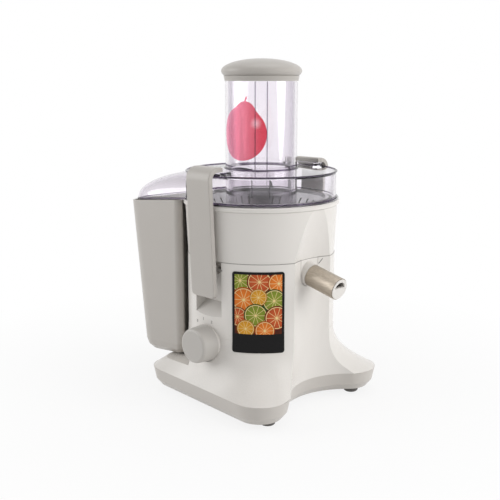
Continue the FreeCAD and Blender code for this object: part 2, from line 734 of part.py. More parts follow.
def speed_switch():
    body = box(-SWITCH_HALF_WIDTH, SWITCH_HALF_WIDTH, -SWITCH_FRONT_Y, -SWITCH_FRONT_Y + SWITCH_DEPTH,
               KNOB_Z - SWITCH_HALF_HEIGHT, KNOB_Z + SWITCH_HALF_HEIGHT)
    bore = along_y(SPINDLE_RADIUS + RUNNING_CLEARANCE, -REACH,
                   -SWITCH_FRONT_Y + SWITCH_DEPTH / 2 + EASY_GAP, 0, KNOB_Z)
    return body.cut(bore)


def interlock_switch():
    wall = -POCKET_BACK_Y + POCKET_WALL
    top = SEAM - INTERLOCK_DROP
    return box(-INTERLOCK_HALF_WIDTH, INTERLOCK_HALF_WIDTH, wall, wall + INTERLOCK_DEPTH,
               top - INTERLOCK_HEIGHT, top)


# Bowl and spout

def leaning_scoop(grow):
    # above the seam the scoop leans outwards, and ends under the rim
    tool = Part.makeCylinder(SCOOP_RADIUS + grow, REACH, V(-REACH / 2, 0, SCOOP_RADIUS), X_AXIS)
    return placed(tool, SPOUT_FRAME).common(box(-REACH, REACH, -REACH, REACH, SEAM, BOWL_RIM - BOWL_RIM_HEIGHT))


def bowl():
    under_rim = BOWL_RIM - BOWL_RIM_HEIGHT
    edge = BOWL_RIM_HEIGHT / 4
    high_radius = BOWL_RADIUS + BOWL_SPREAD
    outside = revolve([
        (0, SEAM),
        (BOWL_RADIUS, SEAM),
        (high_radius, under_rim),
        (BOWL_RIM_RADIUS - edge, under_rim),
        (BOWL_RIM_RADIUS, under_rim + edge),
        (BOWL_RIM_RADIUS, BOWL_RIM - edge),
        (BOWL_RIM_RADIUS - edge, BOWL_RIM),
        (0, BOWL_RIM),
    ])
    step = LID_RADIUS + EASY_GAP
    step_low = BOWL_RIM - LID_SPIGOT - EASY_GAP
    cavity = revolve([
        (0, BOWL_FLOOR_TOP),
        (BOWL_RADIUS - BOWL_WALL, BOWL_FLOOR_TOP),
        (high_radius - BOWL_WALL, step_low),
        (step, step_low),
        (step, BOWL_RIM),
        (0, BOWL_RIM),
    ])
    cavity = cavity.cut(leaning_scoop(BOWL_SET_IN + BOWL_WALL))
    below_floor = box(-REACH, REACH, -REACH, REACH, 0, BOWL_FLOOR_TOP)
    below_seam = box(-REACH, REACH, -REACH, REACH, 0, SEAM + BOWL_FLOOR / 3)
    block = u_prism(COLLAR_RADIUS + SPOUT_BLOCK_EDGE, -SPOUT_BACK + EASY_GAP, REACH / 4, REACH / 4)
    block = block.common(below_seam).cut(scoop_tool(0))
    channel = u_prism(COLLAR_BORE_RADIUS, -SPOUT_BACK + BOWL_WALL + EASY_GAP, -BOWL_WALL, REACH / 4)
    channel = channel.common(below_floor)
    collar = placed(cylinder(COLLAR_RADIUS, -BOWL_WALL, COLLAR_LENGTH - SEAT_GAP), SPOUT_FRAME)
    chimney = cylinder(CHIMNEY_RADIUS, SEAM, BOWL_FLOOR_TOP + CHIMNEY_HEIGHT)
    solid = outside.cut(leaning_scoop(BOWL_SET_IN)).fuse([block, collar]).cut(cavity).fuse(chimney)
    bore = placed(cylinder(COLLAR_BORE_RADIUS, -2 * BOWL_WALL, REACH), SPOUT_FRAME)
    return solid.cut([channel, bore, cylinder(DECK_BORE_RADIUS, SEAM, BOWL_RIM)])


def spout_insert():
    tail_radius = COLLAR_BORE_RADIUS - RUNNING_CLEARANCE
    body_radius = SLEEVE_RADIUS - SLEEVE_WALL
    tail_low = COLLAR_LENGTH - SPOUT_TAIL
    spout = cylinder(tail_radius, tail_low, COLLAR_LENGTH).fuse(cylinder(body_radius, COLLAR_LENGTH, SPOUT_END))
    spout = spout.cut(cylinder(SPOUT_BORE_RADIUS, tail_low, SPOUT_END - SPOUT_PLATE))
    mouth = cylinder(MOUTH_RADIUS, SPOUT_END - 2 * SPOUT_PLATE, SPOUT_END)
    mouth = mouth.common(box(MOUTH_CHORD, REACH, -REACH, REACH, 0, REACH))
    return placed(spout.cut(mouth).cut(seal_ring(tail_radius)), SPOUT_FRAME)


def seal_ring(radius):
    middle = COLLAR_LENGTH / 2
    return ring(radius - SEAL_DEPTH, radius, middle - SEAL_WIDTH / 2, middle + SEAL_WIDTH / 2)


def spout_seal():
    return placed(seal_ring(COLLAR_BORE_RADIUS - RUNNING_CLEARANCE), SPOUT_FRAME)


def spout_sleeve():
    sleeve = ring(SLEEVE_RADIUS - SLEEVE_WALL, SLEEVE_RADIUS, COLLAR_LENGTH, SPOUT_END - SLEEVE_WALL)
    return placed(sleeve, SPOUT_FRAME)


# Lid

def quarter_ellipse(centre, reach, rise):
    # from the end of the reach, level with the centre, to the top of the rise
    ellipse = Part.Ellipse(centre + reach, centre + rise, centre)
    return Part.ArcOfEllipse(ellipse, 0, math.pi / 2).toShape()


def hood_solid(inset):
    # three outlines cut one form: from the side, from above and from the end
    top = LID_RIM - HOOD_DROP - inset
    end_x = inset - HOOD_REACH
    half_width = HOOD_HALF_WIDTH - inset
    low = TUBE_LOW
    fall_low = top - HOOD_FALL
    flat_x = HOOD_FALL_LENGTH - HOOD_REACH
    start_x = inset - TUBE_RADIUS
    edges = [
        Part.makeLine(V(start_x, 0, top), V(flat_x, 0, top)),
        quarter_ellipse(V(flat_x, 0, fall_low), X_AXIS * (end_x - flat_x), Z_AXIS * HOOD_FALL),
        Part.makeLine(V(end_x, 0, fall_low), V(end_x, 0, low)),
        Part.makeLine(V(end_x, 0, low), V(start_x, 0, low)),
        Part.makeLine(V(start_x, 0, low), V(start_x, 0, top)),
    ]
    side = Part.Face(Part.Wire(edges))
    side = side.extrude(Y_AXIS * (2 * half_width)).translated(V(0, -half_width, 0))
    plan = rounded_end(end_x, half_width, HOOD_CORNER - inset, low, top)
    return side.common(plan).common(shouldered(half_width, HOOD_SHOULDER - inset, low, top))


def rounded_end(end_x, half_width, corner, low, high):
    # plan outline with two rounded corners at the end
    outline = Part.makeBox(-end_x, 2 * half_width, high - low, V(end_x, -half_width, low))
    upright = [edge for edge in outline.Edges if edge.BoundBox.ZLength > high - low - SEAT_GAP
               and edge.BoundBox.XMax < end_x / 2]
    return outline.makeFillet(corner, upright)


def shouldered(half_width, shoulder, low, high):
    # end outline with two rounded upper corners
    outline = Part.makeBox(REACH, 2 * half_width, high - low, V(-REACH, -half_width, low))
    upper = [edge for edge in outline.Edges if edge.BoundBox.XLength > REACH / 2
             and edge.BoundBox.ZMin > (low + high) / 2]
    return outline.makeFillet(shoulder, upper)


def lid():
    root = LID_RIM + LID_CROWN
    flange_top = BOWL_RIM + LID_FLANGE_HEIGHT
    spigot_low = BOWL_RIM - LID_SPIGOT
    dome = revolve([
        (0, spigot_low),
        (LID_RADIUS, spigot_low),
        (LID_RADIUS, BOWL_RIM),
        (LID_RADIUS + LID_FLANGE, BOWL_RIM),
        (LID_RADIUS + LID_FLANGE, flange_top),
        (LID_RADIUS, flange_top),
        (LID_RADIUS, LID_RIM),
        (TUBE_RADIUS, root),
        (0, root),
    ])
    hollow = revolve([
        (0, spigot_low),
        (LID_RADIUS - LID_WALL, spigot_low),
        (LID_RADIUS - LID_WALL, LID_RIM - LID_WALL),
        (TUBE_RADIUS, root - LID_WALL),
        (0, root - LID_WALL),
    ])
    over_rim = cylinder(BOWL_RIM_RADIUS + EASY_GAP, 0, BOWL_RIM)
    below_rim = placed(box(-REACH, REACH, -REACH, REACH, -REACH, HOOD_GAP), BIN_FRAME)
    pulp_way = hood_solid(HOOD_WALL)
    hood = hood_solid(0).cut(over_rim).cut(below_rim).cut(pulp_way)
    hood = hood.cut(cylinder(LID_RADIUS - LID_WALL / 2, 0, REACH))
    solid = dome.cut(hollow).cut(pulp_way).fuse(hood)
    ledge_out = LEDGE_SET_IN - LID_RADIUS
    ledge = box(-LEDGE_HALF_WIDTH, LEDGE_HALF_WIDTH, ledge_out, ledge_out + LEDGE_DEPTH, LID_RIM - LID_WALL,
                LID_RIM + LEDGE_TOP)
    ledge = ledge.common(cylinder(LID_RADIUS, 0, REACH))
    tube = ring(TUBE_BORE_RADIUS, TUBE_RADIUS, TUBE_LOW, TUBE_TOP)
    inside_tube = cylinder(TUBE_BORE_RADIUS, 0, REACH)
    solid = solid.fuse([ledge, mirrored(ledge), tube]).cut(inside_tube)
    return solid.fuse(guide_rib()).removeSplitter()


def guide_rib():
    rib = box(TUBE_BORE_RADIUS - RIB_HEIGHT, TUBE_RADIUS - TUBE_WALL / 2, -RIB_HALF_WIDTH, RIB_HALF_WIDTH,
              TUBE_LOW, TUBE_TOP)
    return turned(rib, RIB_ANGLE)


# Pusher

def pusher_body():
    low = TUBE_LOW + PUSHER_FLOOR_GAP
    high = CAP_LOW + CAP_SOCKET
    body = cylinder(PUSHER_RADIUS, low, high)
    body = body.cut(groove_tool(EASY_GAP, low, CAP_LOW))
    inside = cylinder(PUSHER_RADIUS - PUSHER_WALL, low + PUSHER_WALL, high)
    return body.cut(inside.cut(groove_tool(EASY_GAP + PUSHER_WALL, low, high)))


def groove_tool(grow, low, high):
    tool = box(TUBE_BORE_RADIUS - RIB_HEIGHT - grow, REACH, -RIB_HALF_WIDTH - grow, RIB_HALF_WIDTH + grow, low, high)
    return turned(tool, RIB_ANGLE)


def pusher_cap():
    ring_top = CAP_LOW + CAP_RING_HEIGHT
    bulge = ring_top + CAP_BULGE_RISE
    top = ring_top + CAP_DOME_RISE
    shoulder_radius = (CAP_RADIUS + CAP_RING_RADIUS) / 2
    lines = [
        (0, CAP_LOW),
        (CAP_RING_RADIUS - CAP_RING_TAPER, CAP_LOW),
        (CAP_RING_RADIUS, ring_top),
        (CAP_RING_RADIUS - CAP_GROOVE, ring_top),
        (CAP_RING_RADIUS - CAP_GROOVE, ring_top + CAP_GROOVE),
        (shoulder_radius, ring_top + CAP_GROOVE),
    ]
    corners = [V(r, 0, z) for r, z in lines]
    # the edge's small arc runs smoothly into the dome's wide one
    inset = CAP_RADIUS - CAP_EDGE_ROUND
    rise = top - bulge
    dome_radius = (inset ** 2 + rise ** 2 - CAP_EDGE_ROUND ** 2) / (2 * (rise - CAP_EDGE_ROUND))
    edge_centre = V(inset, 0, bulge)
    dome_centre = V(0, 0, top - dome_radius)
    way = unit(edge_centre - dome_centre)
    edges = Part.makePolygon(corners + [V(CAP_RADIUS, 0, bulge)]).Edges
    edges.append(arc_about(edge_centre, CAP_EDGE_ROUND, X_AXIS, way))
    flat_z = dome_centre.z + math.sqrt(dome_radius ** 2 - CAP_FLAT ** 2)
    flat_edge = V(CAP_FLAT, 0, flat_z)
    edges.append(arc_about(dome_centre, dome_radius, way, unit(flat_edge - dome_centre)))
    edges += Part.makePolygon([flat_edge, V(0, 0, flat_z), corners[0]]).Edges
    face = Part.Face(Part.Wire(edges))
    cap = face.revolve(ORIGIN, Z_AXIS, FULL_TURN)
    return cap.cut(cylinder(PUSHER_RADIUS, CAP_LOW, CAP_LOW + CAP_SOCKET))


# Pulp container, drawn in its leaning frame with the rim at zero

def bin_wire(height, inset, base_inset):
    fall = -height / BIN_DEPTH
    centre_x = height * BIN_LEAN
    inner = BIN_INNER_RADIUS + inset
    half_width = BIN_HALF_WIDTH - BIN_DRAFT_Y * fall - inset - base_inset
    end_x = -BIN_REACH + BIN_DRAFT_X * fall + inset + base_inset
    corner = BIN_CORNER - inset - base_inset
    nose = BIN_NOSE - inset
    nose_y = half_width - nose
    nose_x = centre_x - math.sqrt((inner + nose) ** 2 - nose_y ** 2)
    nose_centre = V(nose_x, nose_y, height)
    inward = unit(V(centre_x, 0, height) - nose_centre)
    corner_centre = V(end_x + corner, half_width - corner, height)
    on_arc = nose_centre + inward * nose
    edges = [
        Part.Arc(flip(on_arc), V(centre_x - inner, 0, height), on_arc).toShape(),
        arc_about(nose_centre, nose, inward, Y_AXIS),
        Part.makeLine(nose_centre + Y_AXIS * nose, corner_centre + Y_AXIS * corner),
        arc_about(corner_centre, corner, Y_AXIS, -X_AXIS),
        Part.makeLine(corner_centre - X_AXIS * corner, flip(corner_centre) - X_AXIS * corner),
        arc_about(flip(corner_centre), corner, -X_AXIS, -Y_AXIS),
        Part.makeLine(flip(corner_centre) - Y_AXIS * corner, flip(nose_centre) - Y_AXIS * nose),
        arc_about(flip(nose_centre), nose, -Y_AXIS, flip(inward)),
    ]
    return Part.Wire(edges)


def bin_loft(inset, top, bottom):
    # straight drafted walls, then a rounded foot
    rounding = BIN_BASE_ROUND - inset
    sections = [bin_wire(top, inset, 0)]
    for i in range(BIN_BASE_STEPS + 1):
        angle = math.pi / 2 * i / BIN_BASE_STEPS
        height = bottom + rounding * (1 - math.sin(angle))
        sections.append(bin_wire(height, inset, rounding * (1 - math.cos(angle))))
    return Part.makeLoft(sections, True, True)


def pulp_container():
    outside = bin_loft(0, 0, -BIN_DEPTH)
    inside = bin_loft(BIN_WALL, 0, -BIN_DEPTH + BIN_WALL)
    return placed(outside.cut(inside), BIN_FRAME)


# Filter drum and drive

def grater_disc():
    disc = ring(HUB_RADIUS / 2, DRUM_LOW_RADIUS, GRATER_LOW, GRATER_LOW + GRATER_THICKNESS)
    top = GRATER_LOW + GRATER_THICKNESS
    teeth = []
    for row in range(TOOTH_ROWS):
        for i in range(TEETH_PER_ROW):
            radius = TOOTH_FIRST_RADIUS + TOOTH_STEP * i
            outline = [
                V(radius, 0, top),
                V(radius + TOOTH_WIDTH, -TOOTH_LENGTH / 2, top),
                V(radius + TOOTH_WIDTH, TOOTH_LENGTH / 2, top),
            ]
            tip = V(radius + TOOTH_WIDTH / 2, TOOTH_LENGTH / 2, top + TOOTH_HEIGHT)
            tooth = pyramid(outline, tip)
            teeth.append(turned(tooth, FULL_TURN * row / TOOTH_ROWS + TOOTH_SWIRL * i))
    return disc.fuse(teeth)


def pyramid(outline, tip):
    faces = [closed_face(outline)]
    for i, corner in enumerate(outline):
        faces.append(closed_face([corner, outline[i - 1], tip]))
    return Part.makeSolid(Part.makeShell(faces))


def mesh_cone():
    low = GRATER_LOW
    high = BOWL_RIM - DRUM_RIM_HEIGHT / 2
    cone = revolve([
        (DRUM_LOW_RADIUS, low),
        (DRUM_LOW_RADIUS + DRUM_WALL, low),
        (DRUM_HIGH_RADIUS + DRUM_WALL, high),
        (DRUM_HIGH_RADIUS, high),
    ])
    margin = (high - low) / 6
    slot = box(DRUM_LOW_RADIUS, REACH, -SLOT_WIDTH / 2, SLOT_WIDTH / 2, low + margin, high - margin)
    return cone.cut(around(slot, DRUM_SLOTS))


def drum_rim():
    high = BOWL_RIM - DRUM_RIM_HEIGHT / 2
    return ring(DRUM_HIGH_RADIUS, DRUM_RIM_RADIUS, high, high + DRUM_RIM_HEIGHT)


def drum_hub():
    hub = cylinder(DRUM_LOW_RADIUS, HUB_LOW, GRATER_LOW)
    skirt_low = BOWL_FLOOR_TOP + CHIMNEY_HEIGHT / 2
    hub = hub.fuse(ring(HUB_SKIRT_RADIUS - HUB_SKIRT_WALL, HUB_SKIRT_RADIUS, skirt_low, HUB_LOW))
    return hub.fuse(cylinder(HUB_RADIUS / 2, GRATER_LOW, GRATER_LOW + 2 * GRATER_THICKNESS))


def drive_coupling():
    body = cylinder(COUPLING_RADIUS, COUPLING_LOW, HUB_LOW)
    lug = cylinder(COUPLING_LUG_RADIUS, COUPLING_LOW, HUB_LOW, COUPLING_RADIUS)
    return body.fuse(around(lug, COUPLING_LUGS)).cut(cylinder(SHAFT_RADIUS, COUPLING_LOW, shaft_top()))


def shaft_top():
    return HUB_LOW - COUPLING_RADIUS / 2


# Motor

def motor_shaft():
    return cylinder(SHAFT_RADIUS, lower_bearing_low() - SHAFT_TAIL, shaft_top())


def window_sector(inner, outer, low, high, angle):
    # a sector of a ring, centred on the Y axis
    outline = closed_face([V(inner, 0, low), V(outer, 0, low), V(outer, 0, high), V(inner, 0, high)])
    start = turned(outline, HALF_TURN / 2 - angle / 2)
    return start.revolve(ORIGIN, Z_AXIS, angle)


def stator_core():
    core = ring(STATOR_BORE_RADIUS, STATOR_RADIUS, STATOR_LOW, STATOR_HIGH)
    window = window_sector(WINDOW_IN, WINDOW_OUT, STATOR_LOW, STATOR_HIGH, WINDOW_ANGLE)
    return core.cut([window, mirrored(window)])


def field_coils():
    low = STATOR_LOW - COIL_OVERHANG
    coil = window_sector(WINDOW_IN, WINDOW_OUT, low, STATOR_HIGH + COIL_OVERHANG, WINDOW_ANGLE)
    return Part.makeCompound([coil, mirrored(coil)])


def armature_core():
    radius = STATOR_BORE_RADIUS - AIR_GAP
    core = ring(SHAFT_RADIUS, radius, STATOR_LOW, STATOR_HIGH)
    slot = box(radius - ARMATURE_SLOT_DEPTH, REACH, -ARMATURE_SLOT_WIDTH / 2, ARMATURE_SLOT_WIDTH / 2,
               STATOR_LOW, STATOR_HIGH)
    return core.cut(around(slot, ARMATURE_SLOTS))


def armature_windings():
    taper = WINDING_HEIGHT / 2
    ends = []
    for base, way in ((STATOR_HIGH, 1), (STATOR_LOW, -1)):
        ends.append(revolve([
            (SHAFT_RADIUS, base),
            (WINDING_RADIUS, base),
            (WINDING_RADIUS - taper, base + way * WINDING_HEIGHT),
            (SHAFT_RADIUS, base + way * WINDING_HEIGHT),
        ]))
    return Part.makeCompound(ends)


def commutator():
    body = ring(SHAFT_RADIUS, COMMUTATOR_RADIUS, COMMUTATOR_LOW, COMMUTATOR_LOW + COMMUTATOR_HEIGHT)
    slit = box(COMMUTATOR_RADIUS - COMMUTATOR_SLIT, REACH, -COMMUTATOR_SLIT / 2, COMMUTATOR_SLIT / 2,
               COMMUTATOR_LOW, COMMUTATOR_LOW + COMMUTATOR_HEIGHT)
    return body.cut(around(slit, COMMUTATOR_BARS))


def bearing(low):
    return ring(SHAFT_RADIUS + RUNNING_CLEARANCE, BEARING_RADIUS, low, low + BEARING_HEIGHT)


def bracket(low, high, bearing_low):
    # a cross of two bars with a cup for the bearing
    half = BRACKET_HALF_WIDTH
    arm_length = BOLT_SPREAD + BOLT_HEAD_RADIUS + BRACKET_THICKNESS
    bars = box(-arm_length, arm_length, -half, half, low, high)
    bars = bars.fuse(box(-half, half, -arm_length, arm_length, low, high))
    cup_low = min(low, bearing_low)
    cup_high = max(high, bearing_low + BEARING_HEIGHT)
    bars = bars.fuse(cylinder(BRACKET_HUB_RADIUS, cup_low, cup_high))
    bars = bars.cut(cylinder(BEARING_RADIUS, bearing_low, bearing_low + BEARING_HEIGHT))
    bars = bars.cut(cylinder(SHAFT_RADIUS + EASY_GAP, cup_low, cup_high))
    bolts = [cylinder(BOLT_RADIUS, cup_low, cup_high, side * BOLT_SPREAD, 0) for side in (-1, 1)]
    return bars.cut(bolts)


def lower_bearing_low():
    return LOWER_BRACKET_TOP - BEARING_HEIGHT


def lower_bracket():
    return bracket(LOWER_BRACKET_TOP - BRACKET_THICKNESS, LOWER_BRACKET_TOP, lower_bearing_low())


def upper_bracket():
    plate = bracket(UPPER_BRACKET_LOW, UPPER_BRACKET_TOP, UPPER_BRACKET_LOW)
    pads = [cylinder(DAMPER_RADIUS, UPPER_BRACKET_LOW, UPPER_BRACKET_TOP, x, y)
            for x, y in four_corners(-POST_SPREAD, POST_SPREAD, POST_SPREAD)]
    spokes = []
    for angle in (FULL_TURN / 8, -FULL_TURN / 8):
        reach = POST_SPREAD * math.sqrt(2)
        bar = box(-reach, reach, -BRACKET_HALF_WIDTH / 2, BRACKET_HALF_WIDTH / 2, UPPER_BRACKET_LOW,
                  UPPER_BRACKET_TOP)
        spokes.append(turned(bar, angle).cut(cylinder(BRACKET_HUB_RADIUS, 0, REACH)))
    return plate.fuse(pads + spokes).removeSplitter()


def mount_dampers():
    return Part.makeCompound([cylinder(DAMPER_RADIUS, UPPER_BRACKET_TOP, POST_LOW, x, y)
                              for x, y in four_corners(-POST_SPREAD, POST_SPREAD, POST_SPREAD)])


def stator_bolts():
    low = LOWER_BRACKET_TOP - BRACKET_THICKNESS
    bolts = []
    for side in (-1, 1):
        head = cylinder(BOLT_HEAD_RADIUS, low - BOLT_HEAD_HEIGHT, low, side * BOLT_SPREAD, 0)
        bolts.append(head.fuse(cylinder(BOLT_RADIUS, low, UPPER_BRACKET_TOP, side * BOLT_SPREAD, 0)))
    return Part.makeCompound(bolts)


def cooling_fan():
    fan = cylinder(FAN_RADIUS, FAN_LOW, FAN_LOW + FAN_PLATE)
    fan = fan.fuse(cylinder(FAN_HUB_RADIUS, FAN_LOW, FAN_LOW + FAN_HEIGHT))
    blade = box(FAN_HUB_RADIUS / 2, FAN_RADIUS - FAN_BLADE_WIDTH, -FAN_BLADE_WIDTH / 2, FAN_BLADE_WIDTH / 2,
                FAN_LOW, FAN_LOW + FAN_HEIGHT)
    fan = fan.fuse(around(blade, FAN_BLADES))
    return fan.cut(cylinder(SHAFT_RADIUS, FAN_LOW, FAN_LOW + FAN_HEIGHT))


def brush_box(half, start, length, low, high):
    return box(-half, half, -start - length, -start, low, high)


def carbon_brushes():
    low = COMMUTATOR_LOW + BRUSH_HOLDER_WALL
    high = low + 2 * BRUSH_HALF_WIDTH
    start = COMMUTATOR_RADIUS + RUNNING_CLEARANCE
    brush = brush_box(BRUSH_HALF_WIDTH, start, BRUSH_LENGTH, low, high)
    return Part.makeCompound([brush, mirrored(brush)])


def brush_holders():
    low = COMMUTATOR_LOW + BRUSH_HOLDER_WALL
    high = low + 2 * BRUSH_HALF_WIDTH
    wall = BRUSH_HOLDER_WALL
    start = COMMUTATOR_RADIUS + wall
    holder = brush_box(BRUSH_HALF_WIDTH + wall, start, BRUSH_HOLDER_LENGTH, LOWER_BRACKET_TOP, high + wall)
    room = brush_box(BRUSH_HALF_WIDTH, start, BRUSH_LENGTH - wall + RUNNING_CLEARANCE, low, high)
    holder = holder.cut(room)
    return Part.makeCompound([holder, mirrored(holder)])


# The machine

FRONT_ARM = locking_arm()

NODES = {
    "rubber_feet": rubber_feet(),
    "base_tray": base_tray(),
    "base_screws": base_screws(),
    "cord_grommet": cord_grommet(),
    "power_housing": power_housing(),
    "bowl": bowl(),
    "lid": lid(),
    "front_arm": FRONT_ARM,
    "rear_arm": mirrored(FRONT_ARM),
    "front_arm_pin": arm_pin(),
    "rear_arm_pin": mirrored(arm_pin()),
    "pusher_body": pusher_body(),
    "pusher_cap": pusher_cap(),
    "pulp_container": pulp_container(),
    "speed_knob": speed_knob(),
    "knob_spindle": knob_spindle(),
    "speed_switch": speed_switch(),
    "interlock_switch": interlock_switch(),
    "spout_insert": spout_insert(),
    "spout_sleeve": spout_sleeve(),
    "spout_seal": spout_seal(),
    "grater_disc": grater_disc(),
    "mesh_cone": mesh_cone(),
    "drum_rim": drum_rim(),
    "drum_hub": drum_hub(),
    "drive_coupling": drive_coupling(),
    "motor_shaft": motor_shaft(),
    "armature_core": armature_core(),
    "armature_windings": armature_windings(),
    "commutator": commutator(),
    "cooling_fan": cooling_fan(),
    "stator_core": stator_core(),
    "field_coils": field_coils(),
    "upper_bracket": upper_bracket(),
    "lower_bracket": lower_bracket(),
    "upper_bearing": bearing(UPPER_BRACKET_LOW),
    "lower_bearing": bearing(lower_bearing_low()),
    "mount_dampers": mount_dampers(),
    "stator_bolts": stator_bolts(),
    "brush_holders": brush_holders(),
    "carbon_brushes": carbon_brushes(),
}

# The container's rim and the spout's mouth are the two ends of the machine's box
LEFT_END = -BIN_REACH * math.cos(math.radians(BIN_TILT))
RIGHT_END = (SPOUT_ROOT + SPOUT_AXIS * SPOUT_END + SPOUT_UP * (SLEEVE_RADIUS - SLEEVE_WALL)).x
TO_MIDDLE = V(-(LEFT_END + RIGHT_END) / 2, 0, 0)

os.makedirs("parts", exist_ok=True)
for name, shape in NODES.items():
    shape.translated(TO_MIDDLE).exportStep(os.path.join("parts", name + ".step"))
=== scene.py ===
import bpy
import math
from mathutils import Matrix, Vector


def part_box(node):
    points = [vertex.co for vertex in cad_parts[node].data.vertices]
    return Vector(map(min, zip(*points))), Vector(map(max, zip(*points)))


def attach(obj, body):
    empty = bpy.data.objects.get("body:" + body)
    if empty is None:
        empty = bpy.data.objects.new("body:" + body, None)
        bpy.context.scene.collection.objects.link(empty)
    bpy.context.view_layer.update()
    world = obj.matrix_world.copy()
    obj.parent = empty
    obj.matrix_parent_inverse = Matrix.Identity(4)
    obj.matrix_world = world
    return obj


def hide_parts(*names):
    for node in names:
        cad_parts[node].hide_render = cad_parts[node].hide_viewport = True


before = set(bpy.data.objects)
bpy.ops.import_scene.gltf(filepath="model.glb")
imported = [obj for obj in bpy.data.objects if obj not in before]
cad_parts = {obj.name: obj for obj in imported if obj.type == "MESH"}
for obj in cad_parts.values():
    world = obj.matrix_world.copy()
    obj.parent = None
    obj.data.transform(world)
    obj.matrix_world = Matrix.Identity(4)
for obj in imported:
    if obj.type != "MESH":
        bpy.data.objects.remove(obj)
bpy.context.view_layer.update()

# Rubber feet: four soft grey buttons pressed into the underside of the tray.
# Moulded rubber, dull, with a fine pebbled skin that holds a little dust.
# The motor's dampers, the cord's grommet and the spout's seal are of the same rubber.


def paint(red, green, blue):
    # a colour as it is read off a colour card, from 0 to 255, taken through the usual screen curve
    channels = []
    for level in (red, green, blue):
        share = level / 255
        channels.append(share / 12.92 if share <= 0.04045 else ((share + 0.055) / 1.055) ** 2.4)
    return (*channels, 1.0)


def socket(group, name, kind, way, value=None):
    made = group.interface.new_socket(name=name, in_out=way, socket_type=kind)
    if value is not None:
        made.default_value = value


def feed(tree, value, entry):
    # joins another node's output to an input, or sets the input to a plain value
    if isinstance(value, bpy.types.NodeSocket):
        tree.links.new(value, entry)
    else:
        entry.default_value = value


def calc(tree, operation, *values):
    # one math node; each input is a number or another node's output
    node = tree.nodes.new("ShaderNodeMath")
    node.operation = operation
    for place, value in enumerate(values):
        feed(tree, value, node.inputs[place])
    return node.outputs[0]


def mix(tree, factor, first, second, kind="RGBA"):
    # a colour between two others, or a number with the kind FLOAT
    node = tree.nodes.new("ShaderNodeMix")
    node.data_type = kind
    feed(tree, factor, node.inputs["Factor"])
    feed(tree, first, node.inputs["A"])
    feed(tree, second, node.inputs["B"])
    return node.outputs["Result"]


def noise(tree, place, scale, detail=2.0):
    # cloudy grain from 0 to 1
    node = tree.nodes.new("ShaderNodeTexNoise")
    tree.links.new(place, node.inputs["Vector"])
    feed(tree, scale, node.inputs["Scale"])
    feed(tree, detail, node.inputs["Detail"])
    return node.outputs["Fac"]


TONE_DRIFT = 0.4


def moulded_skin_group():
    # slow drift of tone, fine grain of the tool's surface, and roughness that follows both
    group = bpy.data.node_groups.new("moulded_skin", "ShaderNodeTree")
    socket(group, "Base", "NodeSocketColor", "INPUT")
    socket(group, "Shade", "NodeSocketColor", "INPUT")
    socket(group, "Grain Scale", "NodeSocketFloat", "INPUT", 1600.0)
    socket(group, "Roughness Low", "NodeSocketFloat", "INPUT", 0.3)
    socket(group, "Roughness High", "NodeSocketFloat", "INPUT", 0.4)
    socket(group, "Color", "NodeSocketColor", "OUTPUT")
    socket(group, "Roughness", "NodeSocketFloat", "OUTPUT")
    socket(group, "Height", "NodeSocketFloat", "OUTPUT")
    entry = group.nodes.new("NodeGroupInput").outputs
    leave = group.nodes.new("NodeGroupOutput").inputs
    place = group.nodes.new("ShaderNodeTexCoord").outputs["Object"]
    slow = noise(group, place, scale=14.0, detail=3.0)
    grain = noise(group, place, scale=entry["Grain Scale"])
    tone = mix(group, calc(group, "MULTIPLY", slow, TONE_DRIFT), entry["Base"], entry["Shade"])
    both = calc(group, "MULTIPLY", slow, grain)
    rough = mix(group, both, entry["Roughness Low"], entry["Roughness High"], "FLOAT")
    group.links.new(tone, leave["Color"])
    group.links.new(rough, leave["Roughness"])
    group.links.new(grain, leave["Height"])
    return group


def new_material(name):
    # a fresh material, its node tree and the inputs of its shader
    material = bpy.data.materials.new(name)
    material.use_nodes = True
    tree = material.node_tree
    return material, tree, tree.nodes["Principled BSDF"].inputs


RELIEF_DEPTH = 0.0002


def skin(tree, shader, group, strength):
    # a group's colour, roughness and fine relief on a shader; gives back the group's inputs
    node = tree.nodes.new("ShaderNodeGroup")
    node.node_tree = group
    relief = tree.nodes.new("ShaderNodeBump")
    relief.inputs["Strength"].default_value = strength
    relief.inputs["Distance"].default_value = RELIEF_DEPTH
    tree.links.new(node.outputs["Color"], shader["Base Color"])
    tree.links.new(node.outputs["Roughness"], shader["Roughness"])
    tree.links.new(node.outputs["Height"], relief.inputs["Height"])
    tree.links.new(relief.outputs["Normal"], shader["Normal"])
    return node.inputs


MOULDED_SKIN = moulded_skin_group()


def moulded(name, base, shade, rough, grain=1600.0, bump=0.06, metallic=0.0):
    # rough is the least and the most roughness; bump is the grain's strength
    material, tree, shader = new_material(name)
    entry = skin(tree, shader, MOULDED_SKIN, bump)
    entry["Base"].default_value = base
    entry["Shade"].default_value = shade
    entry["Grain Scale"].default_value = grain
    entry["Roughness Low"].default_value, entry["Roughness High"].default_value = rough
    shader["Metallic"].default_value = metallic
    return material


def dress(material, *nodes):
    # gives these solids of the frame the material
    for node in nodes:
        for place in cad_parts[node].material_slots:
            place.material = material


rubber = moulded("foot_rubber", paint(104, 101, 98), paint(84, 82, 80), rough=(0.6, 0.85),
                 grain=900.0, bump=0.3)
dress(rubber, "rubber_feet", "mount_dampers", "cord_grommet", "spout_seal")

# Base tray: the grey skirt that the machine stands on.
# Injection-moulded plastic with a satin finish, held up into the housing by four screws.

tray_grey = moulded("tray_grey", paint(201, 196, 190), paint(193, 188, 182), rough=(0.36, 0.48))
dress(tray_grey, "base_tray")

# Power housing, bowl and turning spout: warm white mouldings with a soft gloss.
# The housing flares down to the tray; the bowl stands on it and carries the spout.
# Two level joints show as thin shadows: the bowl's foot on the housing, and the band under its rim.


